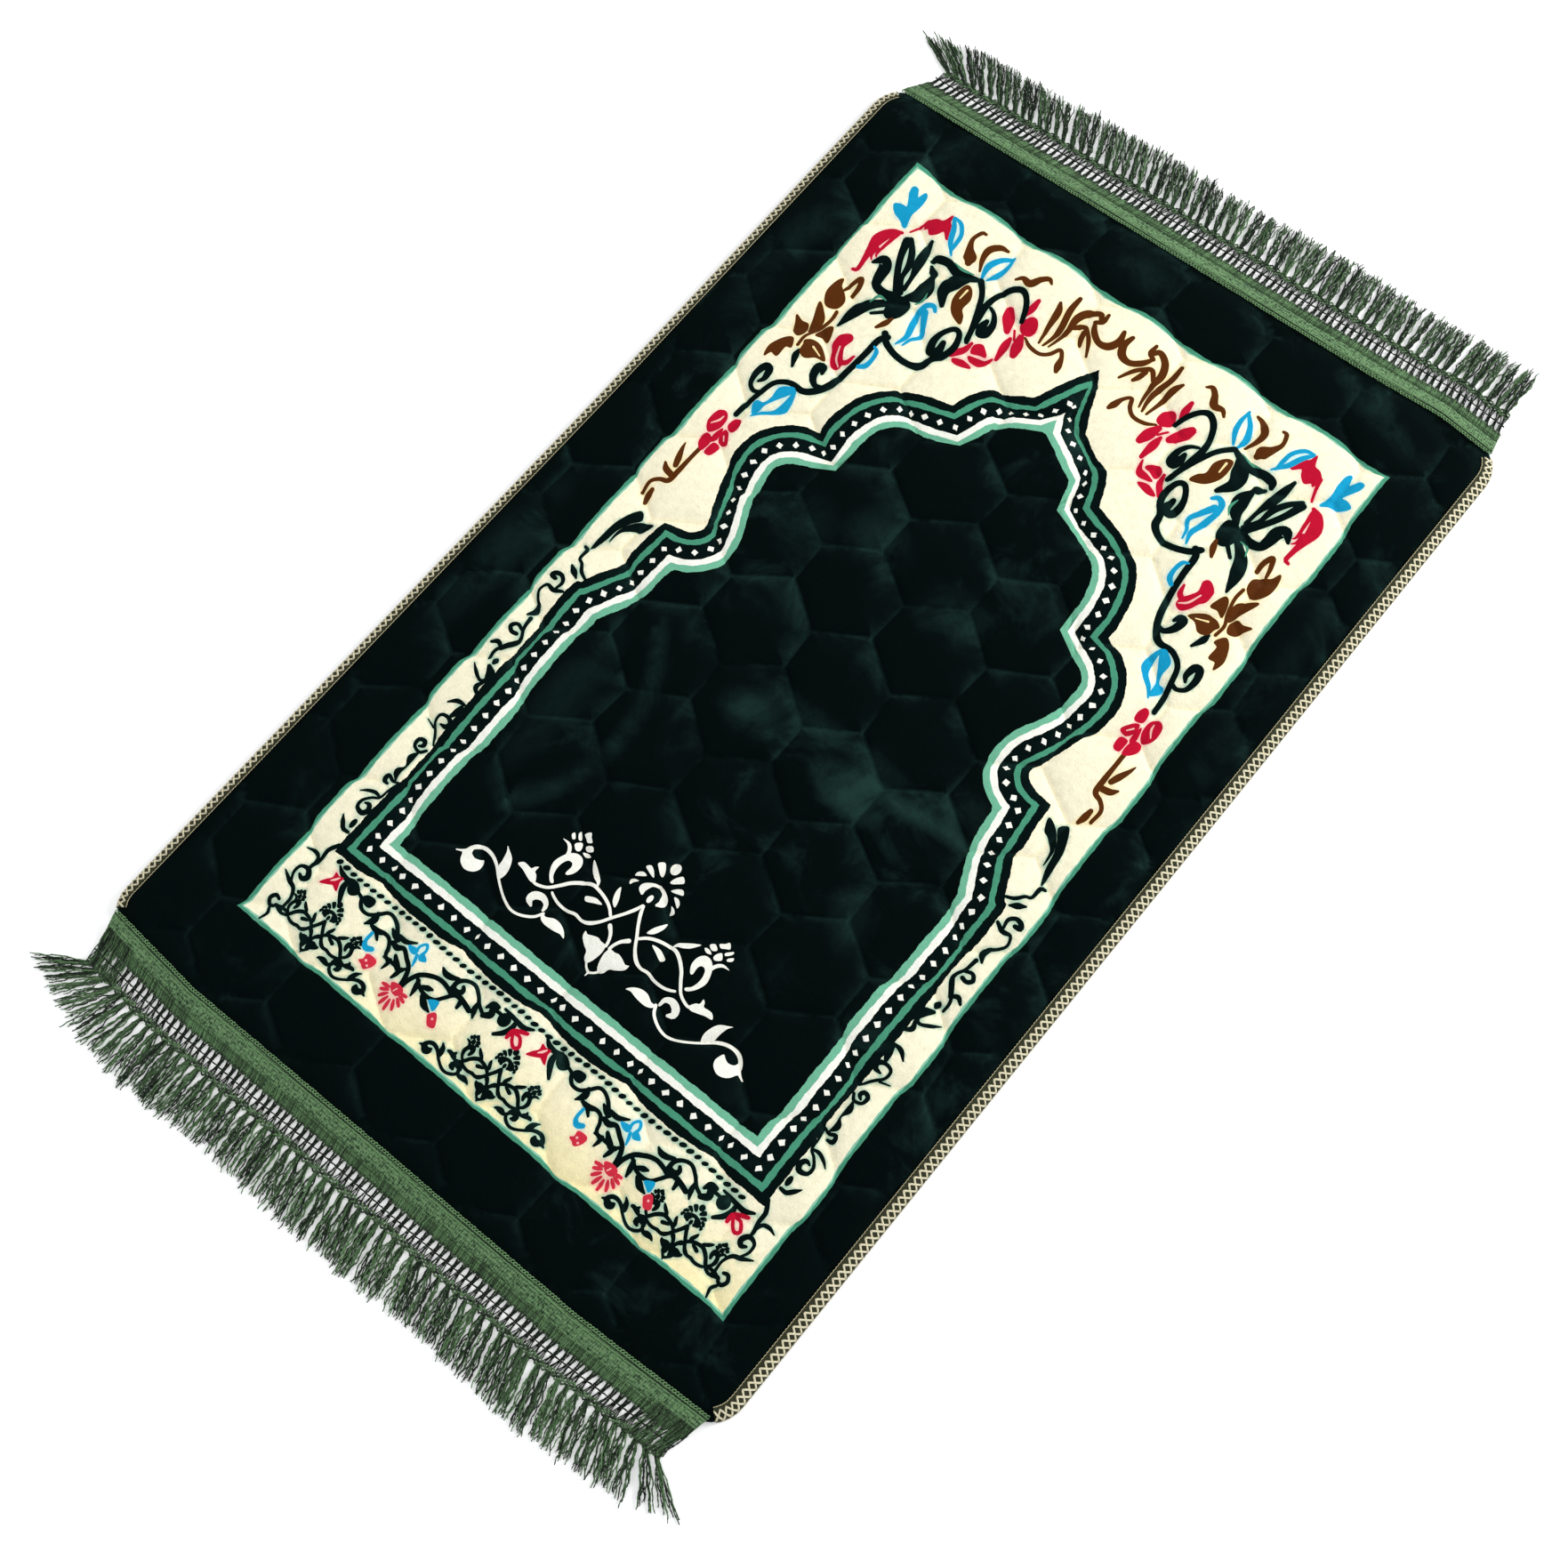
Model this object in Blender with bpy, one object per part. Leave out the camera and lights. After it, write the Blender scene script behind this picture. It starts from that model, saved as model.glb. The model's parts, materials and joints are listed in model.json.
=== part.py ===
"""Padded prayer rug: a quilted pad, a woven braid down each long side and a fringe trim at each end.

Metres, +Z up.  The origin is under the middle of the pad, on the surface that the rug lies on.
+Y runs along the rug towards the point of its niche, and +X runs across it.
"""
import bpy
import bmesh
from math import cos, radians, sin, tan
from mathutils import Vector

MM = 0.001
GAP = 0.35 * MM                      # left between two pieces that touch

# ---- Driving dimensions -------------------------------------------------------------------------
# Corners of the pad in plan, each with the radius that rounds it.
CORNER_BOTTOM_LEFT = (-365.0, -561.0, 30.0)
CORNER_BOTTOM_RIGHT = (342.5, -557.0, 34.0)
CORNER_TOP_RIGHT = (361.0, 577.0, 38.0)
CORNER_TOP_LEFT = (-352.0, 561.0, 36.0)
# The sides bow a little, and the ends wander by a few millimetres between the corners.
SIDE_BOW_LEFT = (-354.5, 116.0)
SIDE_BOW_RIGHT = (354.0, 116.0)
END_BOTTOM = [(-354.0, -562.0), (-250.0, -570.0), (-60.0, -567.5), (190.0, -566.0), (328.0, -558.0)]
END_TOP = [(-336.0, 562.0), (-23.0, 572.5), (227.0, 579.0), (288.0, 582.5), (347.0, 577.0)]
CORNER_STEPS = 7

# Section of the pad's rim, from the flat underside up to the flat top: (inset, height).
PAD_RIM = [(1.6, 0.0), (0.3, 0.6), (0.0, 1.4), (0.3, 2.8), (1.6, 4.8), (3.8, 6.7),
           (7.0, 8.3), (11.0, 9.7), (17.0, 11.3), (26.0, 12.5)]
RIM_TURN = 2                         # the place in that list where the rim is widest

# The braid is wrapped round the rim, from the top of the pad down to just above the floor.
BRAID_INNER_INSET = 10.0
BRAID_THICKNESS = 1.6
BRAID_END_GAP = 1.2                  # between a braid's end and the edge of the trim

# The trim's heading laps the pad's end, slopes to the floor and runs out into a net and tassels.
TRIM_LAP = 8.0
TRIM_THICKNESS = 1.8
TRIM_REACH = 40.0                    # from the pad's end to the roots of the tassels
TASSEL_LENGTH = 50.0
TASSEL_THICKNESS = 2.6
TASSELS = 26
TASSEL_GAP = 1.6
TASSEL_TIP_SHARE = 0.86              # width of a tassel's tip against its root


# ---- Helpers ------------------------------------------------------------------------------------
def clear_scene():
    for item in list(bpy.data.objects):
        bpy.data.objects.remove(item, do_unlink=True)


def material(name, colour, roughness):
    made = bpy.data.materials.new(name)
    made.use_nodes = True
    shader = made.node_tree.nodes["Principled BSDF"]
    shader.inputs["Base Color"].default_value = (*colour, 1.0)
    shader.inputs["Roughness"].default_value = roughness
    shader.inputs["Metallic"].default_value = 0.0
    return made


def add_object(name, mesh_builder, finish, collection):
    """Turn a finished bmesh into an object in metres, with its faces pointing out."""
    bmesh.ops.recalc_face_normals(mesh_builder, faces=mesh_builder.faces)
    bmesh.ops.scale(mesh_builder, vec=Vector((MM, MM, MM)), verts=mesh_builder.verts)
    mesh = bpy.data.meshes.new(name)
    mesh_builder.to_mesh(mesh)
    mesh_builder.free()
    mesh.shade_smooth()
    mesh.set_sharp_from_angle(angle=radians(40))
    mesh.materials.append(finish)
    item = bpy.data.objects.new(name, mesh)
    collection.objects.link(item)
    return item


def round_corner(before, corner, after, radius):
    """Points of the arc that rounds one corner of an outline."""
    tip = Vector(corner)
    back = (Vector(before) - tip).normalized()
    ahead = (Vector(after) - tip).normalized()
    half_angle = back.angle(ahead) / 2
    centre = tip + (back + ahead).normalized() * (radius / sin(half_angle))
    start = tip + back * (radius / tan(half_angle))
    spoke = start - centre
    turn = spoke.angle_signed(tip + ahead * (radius / tan(half_angle)) - centre)
    points = []
    for step in range(CORNER_STEPS + 1):
        angle = -turn * step / CORNER_STEPS
        points.append(centre + Vector((spoke.x * cos(angle) - spoke.y * sin(angle),
                                       spoke.x * sin(angle) + spoke.y * cos(angle))))
    return points


def pad_outline():
    """The pad in plan, anticlockwise from the bottom left corner."""
    route = [CORNER_BOTTOM_LEFT, *END_BOTTOM[1:-1], CORNER_BOTTOM_RIGHT, SIDE_BOW_RIGHT,
             CORNER_TOP_RIGHT, *reversed(END_TOP[1:-1]), CORNER_TOP_LEFT, SIDE_BOW_LEFT]
    points = []
    for index, place in enumerate(route):
        if len(place) == 2:
            points.append(Vector(place))
            continue
        before = route[index - 1][:2]
        after = route[(index + 1) % len(route)][:2]
        points += round_corner(before, place[:2], after, place[2])
    return points


def outward_normals(points, closed):
    """Unit normals to the right of a route, which is outwards for an anticlockwise outline."""
    normals = []
    last = len(points) - 1
    for index, point in enumerate(points):
        before = points[index - 1] if closed or index > 0 else point
        after = points[(index + 1) % len(points)] if closed or index < last else point
        along = (after - before).normalized()
        normals.append(Vector((along.y, -along.x)))
    return normals


def loft(sections, closed):
    """A closed solid through rings of vertices; an open run of rings is capped at both ends."""
    build = bmesh.new()
    rings = []
    for section in sections:
        rings.append([build.verts.new(point) for point in section])
    count = len(rings[0])
    following = rings[1:] + ([rings[0]] if closed else [])
    for ring, beyond in zip(rings, following):
        for index in range(count):
            ahead = (index + 1) % count
            build.faces.new((ring[index], ring[ahead], beyond[ahead], beyond[index]))
    if not closed:
        build.faces.new(rings[0])
        build.faces.new(rings[-1])
    return build


# ---- Quilted pad --------------------------------------------------------------------------------
def make_pad(outline, finish, collection):
    """Rings of the rim, one above another, closed by the flat underside and the flat top."""
    normals = outward_normals(outline, closed=True)
    rings = []
    for inset, height in PAD_RIM:
        rings.append([(*(point - normal * inset), height) for point, normal in zip(outline, normals)])
    return add_object("rug_pad", loft(rings, closed=False), finish, collection)


# ---- Edge braid ---------------------------------------------------------------------------------
def height_on_rim(inset):
    """Height of the pad's upper surface at some distance in from its edge."""
    upper = PAD_RIM[RIM_TURN:]
    for (near, low), (far, high) in zip(upper, upper[1:]):
        if near <= inset <= far:
            return low + (high - low) * (inset - near) / (far - near)
    return upper[-1][1]


def braid_section():
    """Closed section of the braid round the pad's rim, as (outward, height)."""
    backing = [Vector((-inset, height)) for inset, height in PAD_RIM[1:] if inset < BRAID_INNER_INSET]
    backing.append(Vector((-BRAID_INNER_INSET, height_on_rim(BRAID_INNER_INSET))))
    away = outward_normals(backing, closed=False)
    back = [point + normal * GAP / MM for point, normal in zip(backing, away)]
    face = [point + normal * (GAP / MM + BRAID_THICKNESS) for point, normal in zip(backing, away)]
    return back + face[::-1]


def side_route(outline, side, low, high):
    """The stretch of the pad's outline on one long side between two places along Y."""
    line = sorted((point for point in outline if point.x * side > 0), key=lambda point: point.y)
    route = []
    for before, after in zip(line, line[1:]):
        for level in (low, high):
            if before.y < level <= after.y:
                route.append(before.lerp(after, (level - before.y) / (after.y - before.y)))
        if low < after.y < high:
            route.append(after)
    route.sort(key=lambda point: point.y)
    return route if side > 0 else route[::-1]


def make_braid(name, outline, side, low, high, finish, collection):
    """The braid's section carried along the side of the pad."""
    route = side_route(outline, side, low, high)
    normals = outward_normals(route, closed=False)
    section = braid_section()
    rings = []
    for point, normal in zip(route, normals):
        rings.append([(*(point + normal * place.x), place.y) for place in section])
    return add_object(name, loft(rings, closed=False), finish, collection)


# ---- Fringe trim --------------------------------------------------------------------------------
def line_height(line, x):
    """Y of a bent line at some X, carried straight on past its ends."""
    pairs = list(zip(line, line[1:]))
    for (x0, y0), (x1, y1) in pairs:
        if x <= x1:
            break
    return y0 + (y1 - y0) * (x - x0) / (x1 - x0)


def trim_section():
    """Closed section of heading and net, as (outward from the pad's end, height)."""
    lapped = height_on_rim(TRIM_LAP) + GAP / MM
    under = [(-TRIM_LAP, lapped), (-3.0, 7.7), (4.0, 5.0), (11.0, 2.0), (17.0, 0.0), (TRIM_REACH, 0.0)]
    over = [(TRIM_REACH, TASSEL_THICKNESS)]
    over += [(out, height + TRIM_THICKNESS) for out, height in under[-2::-1]]
    return under + over


def tassel_lean(share, leans):
    """Angle of a tassel from straight out, read from (share of the width, degrees) pairs."""
    for (s0, a0), (s1, a1) in zip(leans, leans[1:]):
        if share <= s1:
            break
    return radians(a0 + (a1 - a0) * (share - s0) / (s1 - s0))


def make_trim(name, line, outward, left, right, leans, lengths, finish, collection):
    """A comb: the heading and net are its back, and the tassels grow from its outer edge.

    left and right give the trim's ends at the pad and at the tassels' roots, because the
    heading's cut ends draw in towards the fringe.
    """
    section = trim_section()
    lap_to_root = TRIM_LAP + TRIM_REACH

    def place(share, out, height):
        drawn_in = (out + TRIM_LAP) / lap_to_root
        start = left[0] + (left[1] - left[0]) * drawn_in
        end = right[0] + (right[1] - right[0]) * drawn_in
        x = start + (end - start) * share
        return (x, line_height(line, x) + outward * out, height)

    root_width = right[1] - left[1]
    half_gap = TASSEL_GAP / 2 / root_width
    shares = []
    for index in range(TASSELS):
        shares.append(index / TASSELS + (half_gap if index else 0.0))
        shares.append((index + 1) / TASSELS - (half_gap if index < TASSELS - 1 else 0.0))
    build = loft([[place(share, *spot) for spot in section] for share in shares], closed=False)

    build.faces.ensure_lookup_table()
    sides = len(section)
    root_face = next(i for i, spot in enumerate(section) if spot == (TRIM_REACH, 0.0))
    roots = [build.faces[2 * index * sides + root_face] for index in range(TASSELS)]
    for index, root in enumerate(roots):
        share = (index + 0.5) / TASSELS
        lean = tassel_lean(share, leans)
        length = TASSEL_LENGTH * lengths[index % len(lengths)]
        grown = bmesh.ops.extrude_discrete_faces(build, faces=[root])["faces"][0]
        middle = grown.calc_center_median()
        for corner in grown.verts:
            corner.co.x = middle.x + (corner.co.x - middle.x) * TASSEL_TIP_SHARE
            corner.co.x += length * sin(lean)
            corner.co.y += outward * length * cos(lean)
    return add_object(name, build, finish, collection)


# ---- The rug ------------------------------------------------------------------------------------
def main():
    clear_scene()
    collection = bpy.data.collections.new("prayer_rug")
    bpy.context.scene.collection.children.link(collection)
    plush = material("green_plush", (0.004, 0.022, 0.022), 0.85)
    braid = material("cream_braid", (0.62, 0.58, 0.43), 0.8)
    yarn = material("green_yarn", (0.075, 0.14, 0.085), 0.8)

    outline = pad_outline()
    make_pad(outline, plush, collection)

    lap_low_left = END_BOTTOM[0][1] + TRIM_LAP + BRAID_END_GAP
    lap_low_right = END_BOTTOM[-1][1] + TRIM_LAP + BRAID_END_GAP
    lap_high_left = END_TOP[0][1] - TRIM_LAP - BRAID_END_GAP
    lap_high_right = END_TOP[-1][1] - TRIM_LAP - BRAID_END_GAP
    make_braid("edge_braid_left", outline, -1, lap_low_left, lap_high_left, braid, collection)
    make_braid("edge_braid_right", outline, 1, lap_low_right, lap_high_right, braid, collection)

    make_trim("fringe_trim_bottom", END_BOTTOM, -1, (-354.0, -345.5), (328.0, 316.0),
              [(0.0, -52.0), (0.06, -16.0), (0.12, -2.0), (0.45, 11.0), (0.92, 16.0), (1.0, 50.0)],
              (1.0, 1.04, 0.98, 1.02, 0.96), yarn, collection)
    make_trim("fringe_trim_top", END_TOP, 1, (-336.0, -318.0), (347.0, 338.5),
              [(0.0, -62.0), (0.08, -34.0), (0.3, -24.0), (0.6, -9.0), (1.0, 0.0)],
              (0.97, 1.0, 1.03, 0.99), yarn, collection)


main()
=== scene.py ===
# %% [markdown]
# # A padded prayer rug
#
# The real rug is a quilted pad: a printed plush face, a layer of wadding and a backing, sewn
# together in six-sided cells. A woven braid is sewn round the rim of each long side, and each end
# has a ready-made trim with a ribbed heading, an open net and loose twisted tassels. The packed
# model gives the true places of all of these as plain solids, so we start by loading it. Every
# piece below takes its place from those solids and then stands in for one of them.

import json
from math import ceil, cos, hypot, pi, radians, sin

import bpy
import numpy as np
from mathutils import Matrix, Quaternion, Vector, geometry, kdtree


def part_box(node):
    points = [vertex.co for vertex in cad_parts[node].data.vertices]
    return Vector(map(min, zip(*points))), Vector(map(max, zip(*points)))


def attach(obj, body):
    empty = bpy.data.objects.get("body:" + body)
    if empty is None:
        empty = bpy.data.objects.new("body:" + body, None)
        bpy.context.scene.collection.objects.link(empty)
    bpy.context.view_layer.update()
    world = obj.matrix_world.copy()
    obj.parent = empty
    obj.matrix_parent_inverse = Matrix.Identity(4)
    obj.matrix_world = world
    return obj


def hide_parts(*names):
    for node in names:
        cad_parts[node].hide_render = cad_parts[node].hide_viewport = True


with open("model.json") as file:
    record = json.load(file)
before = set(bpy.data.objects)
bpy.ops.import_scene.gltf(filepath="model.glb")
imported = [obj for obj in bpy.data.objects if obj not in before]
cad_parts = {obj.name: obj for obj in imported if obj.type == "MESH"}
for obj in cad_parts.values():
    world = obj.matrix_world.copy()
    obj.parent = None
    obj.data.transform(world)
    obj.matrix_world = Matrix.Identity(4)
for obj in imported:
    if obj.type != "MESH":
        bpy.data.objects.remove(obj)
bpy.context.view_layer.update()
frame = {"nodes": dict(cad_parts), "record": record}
MM = 0.001
pad_low, pad_high = (np.array(corner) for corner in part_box("rug_pad"))
print("pad, mm:", ((pad_high - pad_low) / MM).round(1).tolist())

# %% [markdown]
# ## Camera
#
# The rug lies on the floor and is seen from above, a little from its front right corner. The
# camera comes first, because everything else is judged through it. It is aimed at a spot on the
# pad, and then rolled, so that the rug crosses the view from corner to corner.

# %% Camera
rest = frame["record"]["mounts"][0]["pos_m"]
AIM = Vector((rest[0] + 0.0353, rest[1] - 0.0935, pad_high[2] - 0.001))
EYE = AIM + Vector((0.3896, -0.3834, 1.6519))
ROLL = radians(-6.643)
camera = bpy.data.objects.new("camera", bpy.data.cameras.new("camera"))
camera.data.sensor_width = 36.0
camera.data.lens = 44.77
camera.location = EYE
camera.rotation_mode = "QUATERNION"
looking = (AIM - EYE).to_track_quat("-Z", "Y")
camera.rotation_quaternion = looking @ Quaternion((0, 0, 1), ROLL)
bpy.context.scene.collection.objects.link(camera)
bpy.context.scene.camera = camera
print("camera, m from the aim:", round((EYE - AIM).length, 3))

# %% [markdown]
# ## Wires for the materials
#
# A material is a small sum: so much of this colour, a little more of that where a noise is high.
# Blender writes such a sum as a web of nodes. The class below wraps one end of a wire, so that
# `0.3 + 0.7 * noise` adds the two nodes for us and reads like the sum that it is.


# %% Wires that can be added and multiplied
class Wire:
    """One end of a wire in a material's node tree."""

    def __init__(self, tree, socket=None):
        self.tree = tree
        self.socket = socket

    def node(self, kind, settings=None, sockets=None, out=0):
        """Add a node, set it up, plug in its sockets, and return a wire from one output."""
        made = self.tree.nodes.new(kind)
        for name, value in (settings or {}).items():
            if name == "stops":
                ramp = made.color_ramp.elements
                while len(ramp) < len(value):
                    ramp.new(0.5)
                for stop, (place, level) in zip(ramp, value):
                    stop.position = place
                    stop.color = (level, level, level, 1.0)
            else:
                setattr(made, name, value)
        for name, value in (sockets or {}).items():
            self.plug(made.inputs[name], value)
        return Wire(self.tree, made.outputs[out])

    def plug(self, socket, value):
        if isinstance(value, Wire):
            self.tree.links.new(value.socket, socket)
        elif isinstance(value, tuple) and len(value) == 3 and socket.type == "RGBA":
            socket.default_value = (*value, 1.0)
        else:
            socket.default_value = value

    def sum(self, operation, first, second):
        return self.node("ShaderNodeMath", {"operation": operation}, {0: first, 1: second})

    def __add__(self, other):
        return self.sum("ADD", self, other)

    __radd__ = __add__

    def __sub__(self, other):
        return self.sum("SUBTRACT", self, other)

    def __rsub__(self, other):
        return self.sum("SUBTRACT", other, self)

    def __mul__(self, other):
        return self.sum("MULTIPLY", self, other)

    __rmul__ = __mul__

    def noise(self, scale, **more):
        """A noise in the piece's own space: the larger the scale, the finer the noise."""
        spot = self.node("ShaderNodeTexCoord", out=3)
        return self.node("ShaderNodeTexNoise", None, {"Vector": spot, "Scale": scale, **more})

    def point_value(self, name):
        """A number that was stored with each point of the mesh."""
        return self.node("ShaderNodeAttribute", {"attribute_name": name}, out=2)

    def clamp(self):
        return self.node("ShaderNodeClamp", None, {"Value": self})

    def ramp(self, low, high):
        """0 below low, 1 above high and smooth between them."""
        return self.node("ShaderNodeMapRange", {"interpolation_type": "SMOOTHSTEP"},
                         {"Value": self, "From Min": low, "From Max": high})

    def blend(self, off, on):
        """The colour off where this wire is 0, and the colour on where it is 1."""
        return self.node("ShaderNodeMix", {"data_type": "RGBA"}, {0: self, 6: off, 7: on}, out=2)


def srgb(red, green, blue):
    """A colour as it is read off a screen, 0 to 255, in the straight scale that shaders use."""
    def straight(level):
        level /= 255
        return level / 12.92 if level <= 0.04045 else ((level + 0.055) / 1.055) ** 2.4
    return (straight(red), straight(green), straight(blue))


def finish_named(name, **fixed):
    """A new material with a Principled shader, and a first wire in its tree."""
    made = bpy.data.materials.new(name)
    made.use_nodes = True
    shader = made.node_tree.nodes["Principled BSDF"]
    for socket, value in fixed.items():
        shader.inputs[socket.replace("_", " ")].default_value = value
    return made, shader, Wire(made.node_tree)


print("one wire class, with", len([n for n in dir(Wire) if not n.startswith("__")]), "plain methods")

# %% [markdown]
# ## The pad's shape
#
# The pad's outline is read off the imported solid, at the height where its rim is widest. Quilting
# is then a matter of two distances. One is how far a point lies in from the rim, and it gives the
# rounded edge. The other is how far it lies from the nearest row of stitches, and it gives the puff
# of the wadding between the rows. The stitches form six-sided cells, which are simply the places
# nearest to each point of a staggered grid, so no cell has to be drawn.

# %% Outline and rim
def points_of(node):
    mesh = frame["nodes"][node].data
    places = np.empty(len(mesh.vertices) * 3)
    mesh.vertices.foreach_get("co", places)
    return places.reshape(-1, 3)


RIM_WIDEST = 1.4 * MM
rim_points = points_of("rug_pad")
rim_points = rim_points[abs(rim_points[:, 2] - RIM_WIDEST) < 0.1 * MM][:, :2]
rim_points = np.unique(rim_points.round(6), axis=0)
pad_middle = (pad_low + pad_high)[:2] / 2
around = np.arctan2(rim_points[:, 1] - pad_middle[1], rim_points[:, 0] - pad_middle[0])
outline = rim_points[np.argsort(around)]


def distance_to(points, line):
    """Distance from each point to a closed, bent line."""
    nearest = np.full(len(points), np.inf)
    for start, end in zip(line, np.roll(line, -1, axis=0)):
        along = end - start
        share = ((points - start) @ along / max(along @ along, 1e-12)).clip(0, 1)
        nearest = np.minimum(nearest, np.linalg.norm(points - start - share[:, None] * along, axis=1))
    return nearest


def winding(points, line):
    """How many times a closed line goes round each point; 0 is outside."""
    order = np.argsort(points[:, 1])
    x, y = points[order].T
    ends = np.roll(line, -1, axis=0)
    starts_at, ends_at = np.searchsorted(y, line[:, 1]), np.searchsorted(y, ends[:, 1])
    turns = np.zeros(len(points), dtype=int)
    for start, end, first, last in zip(line, ends, starts_at, ends_at):
        span = slice(min(first, last), max(first, last))
        side = (end[0] - start[0]) * (y[span] - start[1]) - (x[span] - start[0]) * (end[1] - start[1])
        turns[span] += (side > 0) if last > first else -(side < 0).astype(int)
    back = np.empty_like(turns)
    back[order] = turns
    return back


def inset_of(points):
    """Distance in from the pad's rim, and less than nothing outside it."""
    return distance_to(points, outline) * np.where(winding(points, outline) != 0, 1, -1)


RIM_HEIGHTS = np.array([(0.0, 1.4), (0.3, 2.8), (1.6, 4.8), (3.8, 6.7), (7.0, 8.3),
                        (11.0, 9.7), (17.0, 11.3), (26.0, 12.5)]) * MM


def rim_height(inset):
    return np.interp(inset, RIM_HEIGHTS[:, 0], RIM_HEIGHTS[:, 1])


print("outline:", len(outline), "corners;", "rim up to", rim_height(1.0) / MM, "mm")

# %% Quilted cells
CELL_WIDTH = 97.0 * MM
CELL_ROW = 74.0 * MM
CELL_START = np.array([-36.5, 86.5]) * MM      # the middle of one cell
DRIFT = 0.015                                  # the rows of stitches lean with the pad
PUFF = 6.4 * MM                                # how far a seam lies under the top of a puff
CELL_REACH = 48.0 * MM                         # from a cell's middle to its seams
NEIGHBOURS = np.array([(CELL_WIDTH, 0), (CELL_WIDTH / 2, CELL_ROW), (CELL_WIDTH / 2, -CELL_ROW)])


def wobble(points):
    """Hand-guided stitching wanders by a few millimetres."""
    x, y = points[:, 0], points[:, 1]
    return 2.6 * MM * np.column_stack([np.sin(17 * y + 9 * x) + 0.5 * np.sin(41 * y - 13 * x),
                                       np.sin(15 * x - 11 * y) + 0.5 * np.sin(37 * x + 19 * y)])


def to_cells(points):
    moved = points - CELL_START + wobble(points)
    moved[:, 0] -= DRIFT * moved[:, 1]
    return moved


def from_cells(places):
    moved = places.copy()
    moved[:, 0] += DRIFT * moved[:, 1]
    moved += CELL_START
    return moved - wobble(moved)


def nearest_cell(points):
    """Where each point lies in its cell: the way from the cell's middle, and how far the seam is."""
    places = to_cells(points)
    row = np.floor(places[:, 1] / CELL_ROW)
    best = None
    for step in (0, 1):
        y = (row + step) * CELL_ROW
        shift = np.where((row + step) % 2 != 0, CELL_WIDTH / 2, 0.0)
        x = np.round((places[:, 0] - shift) / CELL_WIDTH) * CELL_WIDTH + shift
        away = places - np.column_stack([x, y])
        best = away if best is None else np.where(
            (np.linalg.norm(away, axis=1) < np.linalg.norm(best, axis=1))[:, None], away, best)
    lengths = np.linalg.norm(NEIGHBOURS, axis=1)
    seam = (lengths / 2 - abs(best @ NEIGHBOURS.T) / lengths).min(axis=1)
    return best, seam


def puffed(points):
    """Height of the quilted face above each point of the plan."""
    inset = inset_of(points)
    _, seam = nearest_cell(points)
    share = (1 - (seam / CELL_REACH)).clip(0, 1)
    dome = (1 - share ** 2.6) ** 0.62
    x, y = points[:, 0], points[:, 1]
    slack = 0.35 * MM * (np.sin(31 * x + 23 * y) + np.sin(-19 * x + 37 * y + 1.0))
    free = ((inset - 2 * MM) / (22 * MM)).clip(0, 1)
    return rim_height(inset.clip(0)) + free * (PUFF * (dome - 1) + slack + 0.6 * MM)


sample = puffed(np.array([CELL_START, CELL_START + [CELL_WIDTH / 2, 0]]))
print("a puff stands", round(sample[0] / MM, 1), "mm high and its seam", round(sample[1] / MM, 1))

# %% [markdown]
# ## The print
#
# The face is printed on cream plush with dark, teal, red, blue and brown inks. A printer builds
# such a design from brush strokes and filled petals, one ink over another, and so do we. Each
# stroke is a line through a few points with a width at each, and each petal is a closed curve.
# Everything is placed in millimetres from the lower left corner of the printed border. Most of
# the design is the same on both sides of the middle, so only its left half is drawn.

# %% Strokes and petals
PRINT_WIDTH = 560.0                            # mm, as is everything in the print
PRINT_CORNER = pad_low[:2] + np.array([93.0, 86.0]) * MM
INKS = {"dark": srgb(4, 16, 15), "cream": srgb(250, 243, 214), "teal": srgb(72, 146, 117),
        "chalk": srgb(246, 246, 236), "jade": srgb(112, 182, 150), "mint": srgb(136, 196, 170),
        "red": srgb(186, 18, 48), "pink": srgb(244, 190, 178), "blue": srgb(24, 154, 198),
        "sky": srgb(176, 226, 232), "brown": srgb(86, 44, 14), "sand": srgb(244, 222, 160),
        "rose": srgb(208, 48, 66), "blush": srgb(246, 180, 178), "mist": srgb(134, 186, 162),
        "field": srgb(3, 10, 10)}
# What an ink leaves round itself where it is thin.
BLEED = {"dark": "mist", "red": "blush", "rose": "blush", "blue": "sky", "brown": "sand"}
ink_names = list(INKS)
grounds, motifs = [], []                       # printed in that order


def smooth_line(points, closed=False, step=1.4):
    """A curve through given points, sampled about every step."""
    points = np.array(points, dtype=float)
    count = len(points)
    if closed:
        ring = np.vstack([points[-1:], points, points[:2]])
    else:
        ring = np.vstack([2 * points[:1] - points[1:2], points, 2 * points[-1:] - points[-2:-1]])
    spans = count if closed else count - 1
    made = []
    for index in range(spans):
        a, b, c, d = ring[index:index + 4]
        steps = max(2, ceil(np.linalg.norm((c - b)[:2]) / step))
        t = (np.arange(steps) / steps)[:, None]
        made.append(0.5 * (2 * b + (c - a) * t + (2 * a - 5 * b + 4 * c - d) * t ** 2
                           + (3 * b - a - 3 * c + d) * t ** 3))
    if not closed:
        made.append(points[-1:])
    return np.vstack(made)


def swollen(line, grow):
    """A closed outline, a little larger."""
    turned = np.roll(line, -1, axis=0)
    area = (line[:, 0] * turned[:, 1] - turned[:, 0] * line[:, 1]).sum()
    return line - normals_of(line, closed=True) * grow * np.sign(area)


def normals_of(line, closed=False):
    """Unit normals to the left of a line."""
    if closed:
        along = np.roll(line, -1, axis=0) - np.roll(line, 1, axis=0)
    else:
        along = np.gradient(line, axis=0)
    along /= np.maximum(np.linalg.norm(along, axis=1), 1e-9)[:, None]
    return np.column_stack([-along[:, 1], along[:, 0]])


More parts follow.
